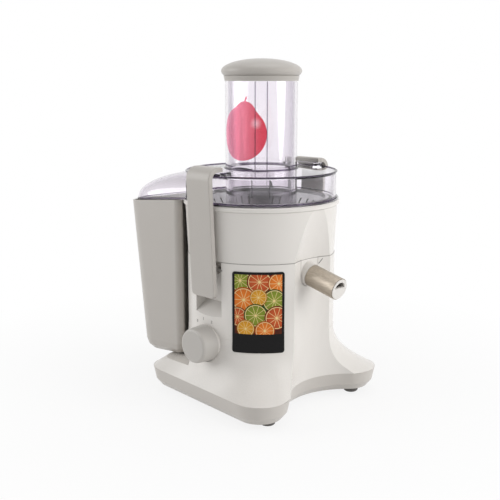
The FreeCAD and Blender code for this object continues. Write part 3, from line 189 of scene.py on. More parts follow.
def white_plastic(name):
    return moulded(name, paint(229, 225, 220), paint(222, 218, 212), rough=(0.24, 0.34),
                   grain=2200.0, bump=0.03)


def split_vector(tree, vector):
    node = tree.nodes.new("ShaderNodeSeparateXYZ")
    tree.links.new(vector, node.inputs[0])
    return node.outputs["X"], node.outputs["Y"], node.outputs["Z"]


def shut_line(material, height, half, colour):
    # the shadow in a joint that runs level round the piece; half is half its width
    tree = material.node_tree
    base = tree.nodes["Principled BSDF"].inputs["Base Color"]
    up = split_vector(tree, tree.nodes.new("ShaderNodeTexCoord").outputs["Object"])[2]
    away = calc(tree, "ABSOLUTE", calc(tree, "SUBTRACT", up, height))
    line = mix(tree, calc(tree, "LESS_THAN", away, half), base.links[0].from_socket, colour)
    tree.links.new(line, base)


SEAM_Z = 0.169
BAND_Z = 0.2245
dress(white_plastic("warm_white"), "spout_insert")
body_white = white_plastic("body_white")
shut_line(body_white, SEAM_Z, half=0.00035, colour=paint(158, 154, 149))
shut_line(body_white, BAND_Z, half=0.00025, colour=paint(190, 186, 181))
dress(body_white, "power_housing", "bowl")

# Locking arms and pulp container: warm grey mouldings with a satin finish.
# The arms clip over the lid's ledges; the container leans on its shelf beside the body.

warm_grey = moulded("warm_grey", paint(188, 183, 177), paint(180, 175, 169), rough=(0.3, 0.42))
dress(warm_grey, "front_arm", "rear_arm", "pulp_container")

# Pusher cap: a smooth grey dome over a narrower ring, with a groove between the two.
# One moulding with a socket below, into which the clear body of the pusher is pressed.

AXIS_X = (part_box("motor_shaft")[0][0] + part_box("motor_shaft")[1][0]) / 2
CAP_LOW, CAP_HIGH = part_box("pusher_cap")[0][2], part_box("pusher_cap")[1][2]
CAP_RADIUS = (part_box("pusher_cap")[1][0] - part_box("pusher_cap")[0][0]) / 2
CAP_DOME = 0.0136  # from the widest line up to the top
CAP_BULGE = 0.005  # from the widest line down to the groove
CAP_GROOVE = 0.0005
CAP_RING_HIGH = 0.0423
CAP_RING_LOW = 0.0411
GROOVE_RADIUS = CAP_RING_HIGH - 0.0009
SOCKET_RADIUS = 0.037
SOCKET_DEPTH = 0.008
wide_z = CAP_HIGH - CAP_DOME
ring_drop = wide_z - CAP_BULGE - CAP_GROOVE - CAP_LOW
bpy.ops.object.select_all(action="DESELECT")
bpy.ops.mesh.primitive_uv_sphere_add(segments=96, ring_count=48, radius=1.0)
cap = bpy.context.object
cap.name = "pusher_cap_dome"
bpy.ops.object.mode_set(mode="EDIT")
bpy.ops.mesh.select_all(action="SELECT")
bpy.ops.transform.resize(value=(CAP_RADIUS, CAP_RADIUS, CAP_DOME), center_override=(0, 0, 0))
bpy.ops.mesh.bisect(plane_co=(0, 0, -CAP_BULGE), plane_no=(0, 0, 1), clear_inner=True)
edge_radius = CAP_RADIUS * math.sqrt(1 - (CAP_BULGE / CAP_DOME) ** 2)
# each step: the next radius of the open edge, and how far it moves up
for next_radius, rise in (
        (GROOVE_RADIUS, 0.0), (GROOVE_RADIUS, -CAP_GROOVE), (CAP_RING_HIGH, 0.0),
        (CAP_RING_LOW, -ring_drop), (SOCKET_RADIUS, 0.0), (SOCKET_RADIUS, SOCKET_DEPTH)):
    bpy.ops.mesh.extrude_region()
    share = next_radius / edge_radius
    bpy.ops.transform.resize(value=(share, share, 1.0), center_override=(0, 0, 0))
    bpy.ops.transform.translate(value=(0, 0, rise))
    edge_radius = next_radius
bpy.ops.mesh.edge_face_add()
bpy.ops.mesh.select_all(action="SELECT")
bpy.ops.mesh.normals_make_consistent(inside=False)
bpy.ops.transform.translate(value=(AXIS_X, 0, wide_z))
bpy.ops.object.mode_set(mode="OBJECT")
bpy.ops.object.shade_smooth_by_angle(angle=math.radians(40))
cap.data.materials.append(warm_grey)
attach(cap, "pusher")
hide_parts("pusher_cap")

# Speed knob: a slightly lighter grey moulding on the switch's steel spindle.
# Its front is smooth; the hand turns it by the drafted side.

knob_grey = moulded("knob_grey", paint(190, 186, 181), paint(182, 178, 172), rough=(0.32, 0.44))
dress(knob_grey, "speed_knob")

# Spout sleeve and the other bright steel pieces: drawn, turned or pressed stainless steel.
# The sleeve is a tube brushed along its length and pressed over the white turning spout.

ROUGHNESS_SPREAD = 0.22
BRUSHED_BUMP = 0.08


def vector_calc(tree, operation, *values):
    node = tree.nodes.new("ShaderNodeVectorMath")
    node.operation = operation
    for place, value in enumerate(values):
        feed(tree, value, node.inputs[place])
    return node.outputs


def brushed_lines_group():
    # streaks stretched along one direction of the piece
    group = bpy.data.node_groups.new("brushed_lines", "ShaderNodeTree")
    socket(group, "Stretch", "NodeSocketVector", "INPUT", (1.0, 1.0, 1.0))
    socket(group, "Light", "NodeSocketColor", "INPUT")
    socket(group, "Dark", "NodeSocketColor", "INPUT")
    socket(group, "Roughness Low", "NodeSocketFloat", "INPUT", 0.2)
    socket(group, "Color", "NodeSocketColor", "OUTPUT")
    socket(group, "Roughness", "NodeSocketFloat", "OUTPUT")
    socket(group, "Height", "NodeSocketFloat", "OUTPUT")
    entry = group.nodes.new("NodeGroupInput").outputs
    leave = group.nodes.new("NodeGroupOutput").inputs
    place = group.nodes.new("ShaderNodeTexCoord").outputs["Object"]
    drawn = vector_calc(group, "MULTIPLY", place, entry["Stretch"])["Vector"]
    lines = noise(group, drawn, scale=60.0, detail=6.0)
    group.links.new(mix(group, lines, entry["Light"], entry["Dark"]), leave["Color"])
    streaky = calc(group, "MULTIPLY_ADD", lines, ROUGHNESS_SPREAD, entry["Roughness Low"])
    group.links.new(streaky, leave["Roughness"])
    group.links.new(lines, leave["Height"])
    return group


BRUSHED_LINES = brushed_lines_group()


def brushed(name, light, dark, stretch, rough=0.2):
    # stretch draws the streaks out along the direction with the smallest number
    material, tree, shader = new_material(name)
    entry = skin(tree, shader, BRUSHED_LINES, BRUSHED_BUMP)
    entry["Stretch"].default_value = stretch
    entry["Light"].default_value = light
    entry["Dark"].default_value = dark
    entry["Roughness Low"].default_value = rough
    shader["Metallic"].default_value = 1.0
    return material


sleeve_steel = brushed("sleeve_steel", paint(204, 194, 180), paint(146, 135, 121), (1.0, 22.0, 22.0),
                       rough=0.34)
dress(sleeve_steel, "spout_sleeve")
turned_steel = brushed("turned_steel", paint(205, 205, 205), paint(160, 160, 160), (6.0, 6.0, 30.0))
dress(turned_steel, "grater_disc", "mesh_cone", "drum_rim", "motor_shaft", "front_arm_pin", "rear_arm_pin",
      "base_screws", "stator_bolts", "upper_bearing", "lower_bearing", "knob_spindle")

# Drive and motor under the bowl: dark moulded hub, coupling, fan and switches; stacked steel cores,
# varnished copper windings, cast brackets and pressed carbon brushes. All are hidden in the closed machine.

dark_plastic = moulded("dark_plastic", paint(52, 52, 54), paint(40, 40, 42), rough=(0.4, 0.55))
dress(dark_plastic, "drum_hub", "drive_coupling", "cooling_fan", "brush_holders", "speed_switch",
      "interlock_switch")
stacked_steel = brushed("stacked_steel", paint(96, 96, 98), paint(60, 60, 62), (4.0, 4.0, 160.0))
dress(stacked_steel, "stator_core", "armature_core")
copper = brushed("varnished_copper", paint(196, 112, 62), paint(140, 70, 36), (20.0, 20.0, 60.0))
dress(copper, "field_coils", "armature_windings", "commutator")
cast_metal = moulded("cast_aluminium", paint(196, 197, 199), paint(170, 171, 174), rough=(0.4, 0.6),
                     grain=700.0, bump=0.2, metallic=1.0)
dress(cast_metal, "upper_bracket", "lower_bracket")
carbon = moulded("pressed_carbon", paint(34, 34, 35), paint(22, 22, 23), rough=(0.6, 0.8),
                 grain=1200.0, bump=0.2)
dress(carbon, "carbon_brushes")

# Lid with its feed tube, and the pusher's body: clear mouldings with a faint violet cast.
# Their walls take a painted shade where the eye looks along them: a dark violet edge that stands in for the
# dark surroundings seen in them edge on. The lid's copy below keeps this material.

# the colour of the painted shade on walls seen edge on
GRAZING_SHADE_TONE = (0.4, 0.34, 0.44, 1.0)
FLOW_BRIGHTENS = 1.05
PLASTIC_IOR = 1.45


def clear_plastic(name, tint, rough=0.02, sharp=5.0, depth=0.75):
    # tint drifts a little, as the flow of the melt leaves it
    # sharp narrows the painted dark edge, and depth darkens it
    material, tree, shader = new_material(name)
    flow = noise(tree, tree.nodes.new("ShaderNodeTexCoord").outputs["Object"], scale=18.0)
    bright = (*[min(1.0, level * FLOW_BRIGHTENS) for level in tint[:3]], 1.0)
    # painted shade: the wall's colour turns towards a dark violet where it is seen edge on
    facing = tree.nodes.new("ShaderNodeLayerWeight")
    facing.inputs["Blend"].default_value = 0.5
    steep = calc(tree, "POWER", facing.outputs["Facing"], sharp)
    edge = mix(tree, calc(tree, "MULTIPLY", steep, depth), mix(tree, flow, tint, bright), GRAZING_SHADE_TONE)
    tree.links.new(edge, shader["Base Color"])
    shader["Roughness"].default_value = rough
    shader["IOR"].default_value = PLASTIC_IOR
    shader["Transmission Weight"].default_value = 1.0
    return material


dress(clear_plastic("lid_clear", (0.946, 0.926, 0.957, 1.0), sharp=4.0, depth=0.85), "lid")
dress(clear_plastic("pusher_clear", (0.97, 0.952, 0.974, 1.0), sharp=1.8, depth=1.0), "pusher_body")

# Pulp hood: the clear end of the lid that reaches over the pulp container, moulded in one with the lid.
# It falls in one round sweep to the container's leaning rim; the lid's own round wall stays as it is.

LID_RADIUS = 0.0848
SHELL_CLEARANCE = 0.0003
HOOD_CLEARANCE = 0.0001
HOOD_MIDDLE_X = -0.055
HOOD_LENGTH = 0.0835
HOOD_HALF_WIDTH = 0.0715
HOOD_RISE = 0.0308
HOOD_WALL = 0.0022
HOOD_SQUARENESS = 5.0
HOOD_SIDE_FULLNESS = 0.6
RIM_Z = 0.2345  # the container's rim, taken to the motor's axis
RIM_LEAN = math.radians(5.5)
TOOL_HEIGHT = 0.2
TOOL_MIDDLE_Z = 0.25
OUTSIDE_BLOCK = 0.2
OUTSIDE_MIDDLE = (-0.125, 0, 0.28)
SAME_POINT = 0.000001


def only(piece):
    # the next operators work on this piece alone
    bpy.ops.object.select_all(action="DESELECT")
    piece.select_set(True)
    bpy.context.view_layer.objects.active = piece


def apply_cut(piece, tool):
    # takes the tool's solid out of the piece and throws the tool away
    cut = piece.modifiers.new("cut", "BOOLEAN")
    cut.operation = "DIFFERENCE"
    cut.solver = "EXACT"
    cut.object = tool
    only(piece)
    bpy.ops.object.modifier_apply(modifier="cut")
    bpy.data.objects.remove(tool)


def lid_wall_tool(clearance):
    # all that lies inside the lid's round wall
    bpy.ops.object.select_all(action="DESELECT")
    bpy.ops.mesh.primitive_cylinder_add(vertices=192, radius=LID_RADIUS + clearance, depth=TOOL_HEIGHT,
                                        location=(AXIS_X, 0, TOOL_MIDDLE_Z))
    return bpy.context.object


def hood_plan(around, share, beyond=0.0):
    # a point of the hood's squarish outline, drawn in by a share or moved beyond it, on the rim's plane
    run, side = math.cos(around), math.sin(around)
    square = (abs(run) ** HOOD_SQUARENESS + abs(side) ** HOOD_SQUARENESS) ** (-1 / HOOD_SQUARENESS)
    end = HOOD_MIDDLE_X + (HOOD_LENGTH * square * share + beyond) * run
    rim = RIM_Z - math.tan(RIM_LEAN) * (AXIS_X - end)
    return end, (HOOD_HALF_WIDTH * square * share + beyond) * side, rim


# the lid without its hood: all outside its round wall is cut off on the container's side
lid_shell = bpy.data.objects.new("lid_shell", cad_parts["lid"].data.copy())
bpy.context.collection.objects.link(lid_shell)
only(lid_shell)
bpy.ops.mesh.customdata_custom_splitnormals_clear()
bpy.ops.object.mode_set(mode="EDIT")
bpy.ops.mesh.select_all(action="SELECT")
bpy.ops.mesh.remove_doubles(threshold=SAME_POINT)
bpy.ops.object.mode_set(mode="OBJECT")
bpy.ops.object.select_all(action="DESELECT")
bpy.ops.mesh.primitive_cube_add(size=OUTSIDE_BLOCK, location=OUTSIDE_MIDDLE)
outside_lid = bpy.context.object
apply_cut(outside_lid, lid_wall_tool(SHELL_CLEARANCE))
apply_cut(lid_shell, outside_lid)
bpy.ops.object.shade_smooth_by_angle(angle=math.radians(30))
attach(lid_shell, "base")
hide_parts("lid")

bpy.ops.object.select_all(action="DESELECT")
bpy.ops.mesh.primitive_uv_sphere_add(segments=128, ring_count=64, radius=1.0)
hood = bpy.context.object
hood.name = "pulp_hood"
bpy.ops.object.mode_set(mode="EDIT")
bpy.ops.mesh.select_all(action="SELECT")
bpy.ops.mesh.bisect(plane_co=(0, 0, 0), plane_no=(0, 0, 1), clear_inner=True)
bpy.ops.object.mode_set(mode="OBJECT")
for point in hood.data.vertices:
    around = math.atan2(point.co.y, point.co.x)
    # an ellipse at the end, fuller at the two sides
    full = 2 / (2 + HOOD_SIDE_FULLNESS * math.sin(around) ** 2)
    up = min(max(point.co.z, 0.0), 1.0)
    end, side, rim = hood_plan(around, (1 - up * up) ** (full / 2))
    point.co = (end, side, rim + HOOD_RISE * up ** full)
wall = hood.modifiers.new("wall", "SOLIDIFY")
wall.thickness = HOOD_WALL
wall.offset = -1.0
bpy.ops.object.modifier_apply(modifier="wall")
apply_cut(hood, lid_wall_tool(HOOD_CLEARANCE))
bpy.ops.object.shade_smooth_by_angle(angle=math.radians(40))
hood.data.materials.clear()
hood.data.materials.append(clear_plastic("hood_clear", (0.93, 0.9, 0.935, 1.0), sharp=2.6, depth=0.95))
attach(hood, "base")

# Edge beads: the thick rounded corners of the clear lid, its tube's root, its foot and the hood's rim.
# Moulded in one with the lid; so much plastic lies behind them that they look dark, and that darkness is
# painted into them as a dark violet tint: painted shade.

# dark violet clear plastic: painted shade for thick clear edges and the rib's corners
PAINTED_EDGE_SHADE = clear_plastic("painted_edge_shade", (0.16, 0.12, 0.2, 1.0), rough=0.08)
BEAD_FLATNESS = 0.85


def edge_ring(name, radius, height, thick):
    # a slightly flattened bead that runs round the motor's axis
    bpy.ops.object.select_all(action="DESELECT")
    bpy.ops.mesh.primitive_torus_add(major_segments=128, minor_segments=12, major_radius=radius,
                                     minor_radius=thick, location=(AXIS_X, 0, height))
    bead = bpy.context.object
    bead.name = name
    bpy.ops.object.transform_apply(location=True)
    bpy.ops.object.mode_set(mode="EDIT")
    bpy.ops.mesh.select_all(action="SELECT")
    bpy.ops.transform.resize(value=(1.0, 1.0, BEAD_FLATNESS), center_override=(AXIS_X, 0, height))
    bpy.ops.object.mode_set(mode="OBJECT")
    bpy.ops.object.shade_smooth()
    # the bead's dark tint is painted shade
    bead.data.materials.append(PAINTED_EDGE_SHADE)
    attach(bead, "base")


LID_EDGE_Z = 0.261
LID_FOOT_Z = 0.2324
TUBE_ROOT_Z = LID_EDGE_Z + 0.0032
TUBE_ROOT_RADIUS = 0.0412
HOOD_BEAD = 0.0008
HOOD_BEAD_RISE = 0.0009
edge_ring("lid_edge_bead", LID_RADIUS + 0.0002, LID_EDGE_Z, thick=0.0012)
edge_ring("tube_root_bead", TUBE_ROOT_RADIUS, TUBE_ROOT_Z, thick=0.0009)
edge_ring("lid_foot_bead", LID_RADIUS + 0.0006, LID_FOOT_Z, thick=0.0008)

bpy.ops.object.select_all(action="DESELECT")
bpy.ops.mesh.primitive_torus_add(major_segments=128, minor_segments=10, major_radius=1.0,
                                 minor_radius=HOOD_BEAD)
hood_bead = bpy.context.object
hood_bead.name = "hood_edge_bead"
for point in hood_bead.data.vertices:
    beyond = math.hypot(point.co.x, point.co.y) - 1.0
    end, side, rim = hood_plan(math.atan2(point.co.y, point.co.x), 1.0, beyond)
    point.co = (end, side, rim + HOOD_BEAD_RISE + point.co.z)
apply_cut(hood_bead, lid_wall_tool(HOOD_CLEARANCE))
bpy.ops.object.shade_smooth_by_angle(angle=math.radians(50))
hood_bead.data.materials.clear()
# the hood bead's dark tint is painted shade
hood_bead.data.materials.append(PAINTED_EDGE_SHADE)
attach(hood_bead, "base")

# Guide lines: thin bars of painted shade for the dark corners of the rib that guides the pusher, above and
# below the lid's top.
# Moulded in one with the feed tube, and seen through its clear wall.

TUBE_RADIUS = 0.0405
TUBE_TOP = 0.3594
GUIDE_DEPTH = 0.0005
GUIDE_WIDTH = 0.0009
GUIDE_BEVEL = 0.00018
GUIDE_STAND = 0.0003


def guide_line(name, angle, low, high):
    # a thin upright bar on the tube, at an angle in degrees round the motor's axis
    bpy.ops.object.select_all(action="DESELECT")
    bpy.ops.mesh.primitive_cube_add(size=1.0)
    bar = bpy.context.object
    bar.name = name
    for point in bar.data.vertices:
        point.co = (point.co.x * GUIDE_DEPTH, point.co.y * GUIDE_WIDTH,
                    (point.co.z + 0.5) * (high - low) + low)
    bpy.ops.object.mode_set(mode="EDIT")
    bpy.ops.mesh.select_all(action="SELECT")
    bpy.ops.mesh.bevel(offset=GUIDE_BEVEL, segments=2, affect="EDGES")
    bpy.ops.object.mode_set(mode="OBJECT")
    turn = math.radians(angle)
    for point in bar.data.vertices:
        out = TUBE_RADIUS + GUIDE_STAND + point.co.x
        point.co = (AXIS_X + out * math.cos(turn) - point.co.y * math.sin(turn),
                    out * math.sin(turn) + point.co.y * math.cos(turn), point.co.z)
    # painted shade along the rib's corner, in the dark tinted clear plastic
    bar.data.materials.append(PAINTED_EDGE_SHADE)
    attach(bar, "base")


# lower and upper end
ABOVE_LID = {"low": LID_EDGE_Z + 0.003, "high": TUBE_TOP}
BELOW_LID = {"low": 0.2345, "high": LID_EDGE_Z - 0.0025}
guide_line("tube_guide_line_left", angle=-55.1, **ABOVE_LID)
guide_line("tube_guide_line_right", angle=-36.8, **ABOVE_LID)
guide_line("chute_guide_line_left", angle=-60.0, **BELOW_LID)
guide_line("chute_guide_line_right", angle=-32.5, **BELOW_LID)

# Printed panel on the housing's front: a thin glossy sheet bent round the body, with rounded corners.
# Fruit slices in print colours over a dark ground, framed in black, with a plain dark foot.

CENTIMETRES = 100
PANEL_ROWS = 8


def sheet_panel(name, width, height, corner, columns):
    # flat rounded sheet, cut into upright strips so that it can bend
    bpy.ops.object.select_all(action="DESELECT")
    bpy.ops.mesh.primitive_plane_add(size=1.0)
    panel = bpy.context.object
    panel.name = name
    panel.data.name = name
    for point in panel.data.vertices:
        point.co = (point.co.x * width, point.co.y * height, 0.0)
    bpy.ops.object.mode_set(mode="EDIT")
    bpy.ops.mesh.select_all(action="SELECT")
    if corner:
        bpy.ops.mesh.bevel(offset=corner, segments=5, affect="VERTICES")
    for step in range(1, columns):
        bpy.ops.mesh.select_all(action="SELECT")
        bpy.ops.mesh.bisect(plane_co=(width * (step / columns - 0.5), 0, 0), plane_no=(1, 0, 0))
    for step in range(1, PANEL_ROWS):
        bpy.ops.mesh.select_all(action="SELECT")
        bpy.ops.mesh.bisect(plane_co=(0, height * (step / PANEL_ROWS - 0.5), 0), plane_no=(0, 1, 0))
    bpy.ops.object.mode_set(mode="OBJECT")
    # the print's own map, in centimetres from the lower left corner
    layer = panel.data.uv_layers.active or panel.data.uv_layers.new(name="print")
    for loop in panel.data.loops:
        place = panel.data.vertices[loop.vertex_index].co
        layer.data[loop.index].uv = ((place.x + width / 2) * CENTIMETRES,
                                     (place.y + height / 2) * CENTIMETRES)
    return panel


def bend_round(panel, radius, angle, height):
    # angle is the panel's middle, in degrees round the motor's axis
    for point in panel.data.vertices:
        turn = math.radians(angle) + point.co.x / radius
        point.co = (AXIS_X + radius * math.cos(turn), radius * math.sin(turn), height + point.co.y)


def thicken(panel, thickness):
    solid = panel.modifiers.new("thickness", "SOLIDIFY")
    solid.thickness = thickness
    solid.offset = 1.0
    only(panel)
    bpy.ops.object.modifier_apply(modifier="thickness")


# shares of a slice's radius, and half the number of its wedges
FLESH_EDGE = 0.84
RIND_EDGE = 0.9
PITH_LINE = 0.09
WEDGE_WAVES = 5.0
# how much the flesh takes the speck's colour, and the rind's towards its edge
SPECK_SHARE = 0.3
RIND_SHARE = 0.6
RIND_POWER = 3.0


def fruit_slice_group():
    # a round cut fruit seen flat on: rind, pith and flesh in wedges
    group = bpy.data.node_groups.new("fruit_slice", "ShaderNodeTree")
    socket(group, "Point", "NodeSocketVector", "INPUT")
    socket(group, "Middle", "NodeSocketVector", "INPUT")
    socket(group, "Size", "NodeSocketFloat", "INPUT", 1.0)
    socket(group, "Rind", "NodeSocketColor", "INPUT")
    socket(group, "Flesh", "NodeSocketColor", "INPUT")
    socket(group, "Color", "NodeSocketColor", "OUTPUT")
    socket(group, "Mask", "NodeSocketFloat", "OUTPUT")
    entry = group.nodes.new("NodeGroupInput").outputs
    leave = group.nodes.new("NodeGroupOutput").inputs
    offset = vector_calc(group, "SUBTRACT", entry["Point"], entry["Middle"])["Vector"]
    reach = calc(group, "DIVIDE", vector_calc(group, "LENGTH", offset)["Value"], entry["Size"])
    across, up, _ = split_vector(group, offset)
    angle = calc(group, "ARCTAN2", up, across)
    ripple = calc(group, "ABSOLUTE", calc(group, "SINE", calc(group, "MULTIPLY", angle, WEDGE_WAVES)))
    wedge = calc(group, "GREATER_THAN", calc(group, "MULTIPLY", ripple, reach), PITH_LINE)
    in_flesh = calc(group, "MULTIPLY", wedge, calc(group, "LESS_THAN", reach, FLESH_EDGE))
    specks = calc(group, "MULTIPLY", noise(group, entry["Point"], scale=9.0), SPECK_SHARE)
    juicy = mix(group, specks, entry["Flesh"], paint(250, 206, 110))
    outwards = calc(group, "MULTIPLY", calc(group, "POWER", reach, RIND_POWER), RIND_SHARE)
    flesh = mix(group, outwards, juicy, entry["Rind"])
    pulp = mix(group, in_flesh, paint(236, 212, 150), flesh)
    whole = mix(group, calc(group, "GREATER_THAN", reach, RIND_EDGE), pulp, entry["Rind"])
    group.links.new(whole, leave["Color"])
    group.links.new(calc(group, "LESS_THAN", reach, 1.0), leave["Mask"])
    return group


FRUIT_SLICE = fruit_slice_group()
# rind and flesh
ORANGE = (paint(170, 64, 8), paint(222, 100, 14))
LIME = (paint(38, 70, 14), paint(98, 134, 28))
RED_FRUIT = (paint(110, 12, 10), paint(188, 26, 18))
LEMON = (paint(166, 100, 12), paint(214, 146, 26))
# middle across and up, in centimetres, size and colours; later ones lie on top
SLICES = [
    (0.9, 8.0, 1.25, LIME), (3.0, 7.9, 1.35, RED_FRUIT), (5.1, 7.7, 1.2, ORANGE), (1.3, 5.9, 1.4, ORANGE),
    (4.6, 5.8, 1.3, LIME), (2.9, 6.2, 0.95, LEMON), (0.6, 4.0, 1.1, RED_FRUIT), (2.6, 4.2, 1.3, LIME),
    (4.9, 3.9, 1.35, RED_FRUIT), (1.5, 2.7, 1.0, LEMON), (3.6, 2.5, 1.1, ORANGE),
]
PANEL_WIDTH = 0.0575
PANEL_HEIGHT = 0.0895
# the picture's frame and foot, in centimetres
FRAME_SIDE = 0.28
FOOT_STRIP = 2.1
GLOSS_LOW, GLOSS_SPREAD = 0.24, 0.1


def between(tree, value, low, high):
    # 1 where the value lies between the two limits
    above = calc(tree, "GREATER_THAN", value, low)
    return calc(tree, "MULTIPLY", above, calc(tree, "LESS_THAN", value, high))


def panel_print():
    material, tree, shader = new_material("panel_print")
    chart = tree.nodes.new("ShaderNodeUVMap").outputs["UV"]
    across, up, _ = split_vector(tree, chart)
    ground = noise(tree, chart, scale=2.2)
    colour = mix(tree, ground, paint(48, 12, 8), paint(96, 40, 12))
    for right, height, size, (rind, flesh) in SLICES:
        cut = tree.nodes.new("ShaderNodeGroup")
        cut.node_tree = FRUIT_SLICE
        tree.links.new(chart, cut.inputs["Point"])
        cut.inputs["Middle"].default_value = (right, height, 0.0)
        cut.inputs["Size"].default_value = size
        cut.inputs["Rind"].default_value = rind
        cut.inputs["Flesh"].default_value = flesh
        colour = mix(tree, cut.outputs["Mask"], colour, cut.outputs["Color"])
    in_width = between(tree, across, FRAME_SIDE, PANEL_WIDTH * CENTIMETRES - FRAME_SIDE)
    in_height = between(tree, up, FOOT_STRIP, PANEL_HEIGHT * CENTIMETRES - FRAME_SIDE)
    picture = calc(tree, "MULTIPLY", in_width, in_height)
    tree.links.new(mix(tree, picture, paint(14, 13, 14), colour), shader["Base Color"])
    tree.links.new(calc(tree, "MULTIPLY_ADD", ground, GLOSS_SPREAD, GLOSS_LOW), shader["Roughness"])
    shader["Specular IOR Level"].default_value = 0.18
    return material


HOUSING_RADIUS = 0.0845
PANEL_ANGLE = -47.5
PANEL_Z = 0.1163
PANEL_SHEET = 0.0003
BEND_CLEARANCE = 0.001  # it is bent just outside the housing, and then laid on it
panel = sheet_panel("front_panel", PANEL_WIDTH, PANEL_HEIGHT, corner=0.003, columns=24)
bend_round(panel, HOUSING_RADIUS + BEND_CLEARANCE, PANEL_ANGLE, PANEL_Z)
wrap = panel.modifiers.new("lie_on_housing", "SHRINKWRAP")
wrap.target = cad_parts["power_housing"]
wrap.wrap_method = "NEAREST_SURFACEPOINT"
wrap.wrap_mode = "ABOVE_SURFACE"
wrap.offset = PANEL_SHEET
only(panel)
bpy.ops.object.modifier_apply(modifier="lie_on_housing")
thicken(panel, PANEL_SHEET)
panel.data.materials.append(panel_print())
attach(panel, "base")

# Coloured print on the feed tube: a translucent pink and red fruit, screen printed on the outside.
# It is a pear with a short stalk, in ink that lets the light of the tube through.

# on the print's map, in centimetres: middle across and up, and radius
PEAR_BELLY = (3.05, 2.95, 2.9)
PEAR_NECK = (3.5, 5.35, 1.1)
PEAR_GLINT = (4.75, 4.1, 0.7)
PEAR_BLEND = 0.9
STALK_LEAN = 0.35
STALK_START = 1.25
STALK_HALF = 0.1
STALK_LOW, STALK_HIGH = 6.0, 6.95
# how the pink turns to red towards the right, and how bright the glint is
SHADE_SLOPE, SHADE_START = 0.24, -0.3
GLINT_SLOPE = 1.1


def tube_ink():
    material, tree, shader = new_material("tube_ink")
    across, up, _ = split_vector(tree, tree.nodes.new("ShaderNodeUVMap").outputs["UV"])

    def round_part(middle, height, size):
        # how far a point lies outside a round part, in centimetres
        run = calc(tree, "SUBTRACT", across, middle)
        rise = calc(tree, "SUBTRACT", up, height)
        square = calc(tree, "ADD", calc(tree, "MULTIPLY", run, run), calc(tree, "MULTIPLY", rise, rise))
        return calc(tree, "SUBTRACT", calc(tree, "SQRT", square), size)

    body = calc(tree, "SMOOTH_MIN", round_part(*PEAR_BELLY), round_part(*PEAR_NECK), PEAR_BLEND)
    fruit = calc(tree, "LESS_THAN", body, 0.0)
    lean = calc(tree, "MULTIPLY_ADD", up, -STALK_LEAN, calc(tree, "SUBTRACT", across, STALK_START))
    stalk = calc(tree, "MULTIPLY", between(tree, lean, -STALK_HALF, STALK_HALF),
                 between(tree, up, STALK_LOW, STALK_HIGH))
    reddening = calc(tree, "MULTIPLY_ADD", across, SHADE_SLOPE, SHADE_START)
    shade = mix(tree, reddening, paint(255, 188, 206), paint(232, 96, 112))
    soft = calc(tree, "MAXIMUM", calc(tree, "MULTIPLY", round_part(*PEAR_GLINT), -GLINT_SLOPE), 0.0)
    tree.links.new(mix(tree, soft, shade, paint(255, 226, 230)), shader["Base Color"])
    tree.links.new(calc(tree, "MAXIMUM", fruit, stalk), shader["Alpha"])
    shader["Roughness"].default_value = 0.06
    shader["IOR"].default_value = 1.03
    shader["Transmission Weight"].default_value = 0.85
    return material


PRINT_WIDTH = 0.063
PRINT_HEIGHT = 0.071
PRINT_ANGLE = -76.5
PRINT_Z = 0.3095
INK_FILM = 0.0001
print_sheet = sheet_panel("tube_print", PRINT_WIDTH, PRINT_HEIGHT, corner=0.0, columns=30)
bend_round(print_sheet, TUBE_RADIUS + INK_FILM, PRINT_ANGLE, PRINT_Z)
thicken(print_sheet, INK_FILM)
print_sheet.data.materials.append(tube_ink())
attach(print_sheet, "base")

# Speed marks over the knob: plain numbers pad printed on the housing.
# Thin grey ink that follows the round of the body.

mark_ink = moulded("mark_ink", paint(120, 118, 116), paint(104, 102, 100), rough=(0.5, 0.6))
MARK_SIZE = 0.0046
MARK_FILM = 0.00008
# each figure's place across and up
for figure, run, height in (("0", -0.0185, 0.0965), ("1", -0.0062, 0.1018), ("2", 0.0068, 0.1002)):
    bpy.ops.object.select_all(action="DESELECT")
    bpy.ops.object.text_add()
    mark = bpy.context.object
    mark.data.body = figure
    mark.data.size = MARK_SIZE
    mark.data.align_x = "CENTER"
    mark.data.align_y = "CENTER"
    mark.data.extrude = MARK_FILM
    bpy.ops.object.convert(target="MESH")
    mark = bpy.context.object
    mark.name = "speed_mark_" + figure
    for point in mark.data.vertices:
        side = run + point.co.x
        depth = math.sqrt(HOUSING_RADIUS ** 2 - side ** 2) + INK_FILM + point.co.z
        point.co = (AXIS_X + side, -depth, height + point.co.y)
    mark.data.materials.append(mark_ink)
    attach(mark, "base")

# Tick beside the spout that shows which way it is turned.
# A short dark bar, pad printed on the hollow of the housing.

TICK_SIZE = (0.0076, 0.0008, 0.0003)
TICK_BEVEL = 0.0001
TICK_LOW = Vector((0.09573, 0.01496, 0.16149))
TICK_HIGH = Vector((0.09716, 0.0204, 0.1669))
TICK_FACE = Vector((0.967, -0.255, 0.0)).normalized()
bpy.ops.object.select_all(action="DESELECT")
bpy.ops.mesh.primitive_cube_add(size=1.0)
tick = bpy.context.object
tick.name = "spout_tick"
bpy.ops.object.mode_set(mode="EDIT")
bpy.ops.mesh.select_all(action="SELECT")
bpy.ops.transform.resize(value=TICK_SIZE)
bpy.ops.mesh.bevel(offset=TICK_BEVEL, segments=2, affect="EDGES")
bpy.ops.object.mode_set(mode="OBJECT")
along = (TICK_HIGH - TICK_LOW).normalized()
across = TICK_FACE.cross(along).normalized()
middle = (TICK_LOW + TICK_HIGH) / 2 + TICK_FACE * INK_FILM
for point in tick.data.vertices:
    point.co = middle + along * point.co.x + across * point.co.y + TICK_FACE * point.co.z
tick.data.materials.append(mark_ink)
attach(tick, "base")

# Stage: a plain pale floor that keeps the shadow, soft lamps on both sides, and the camera.
# Floor and sky look white to the eye and in clear plastic, but light the machine less than that.

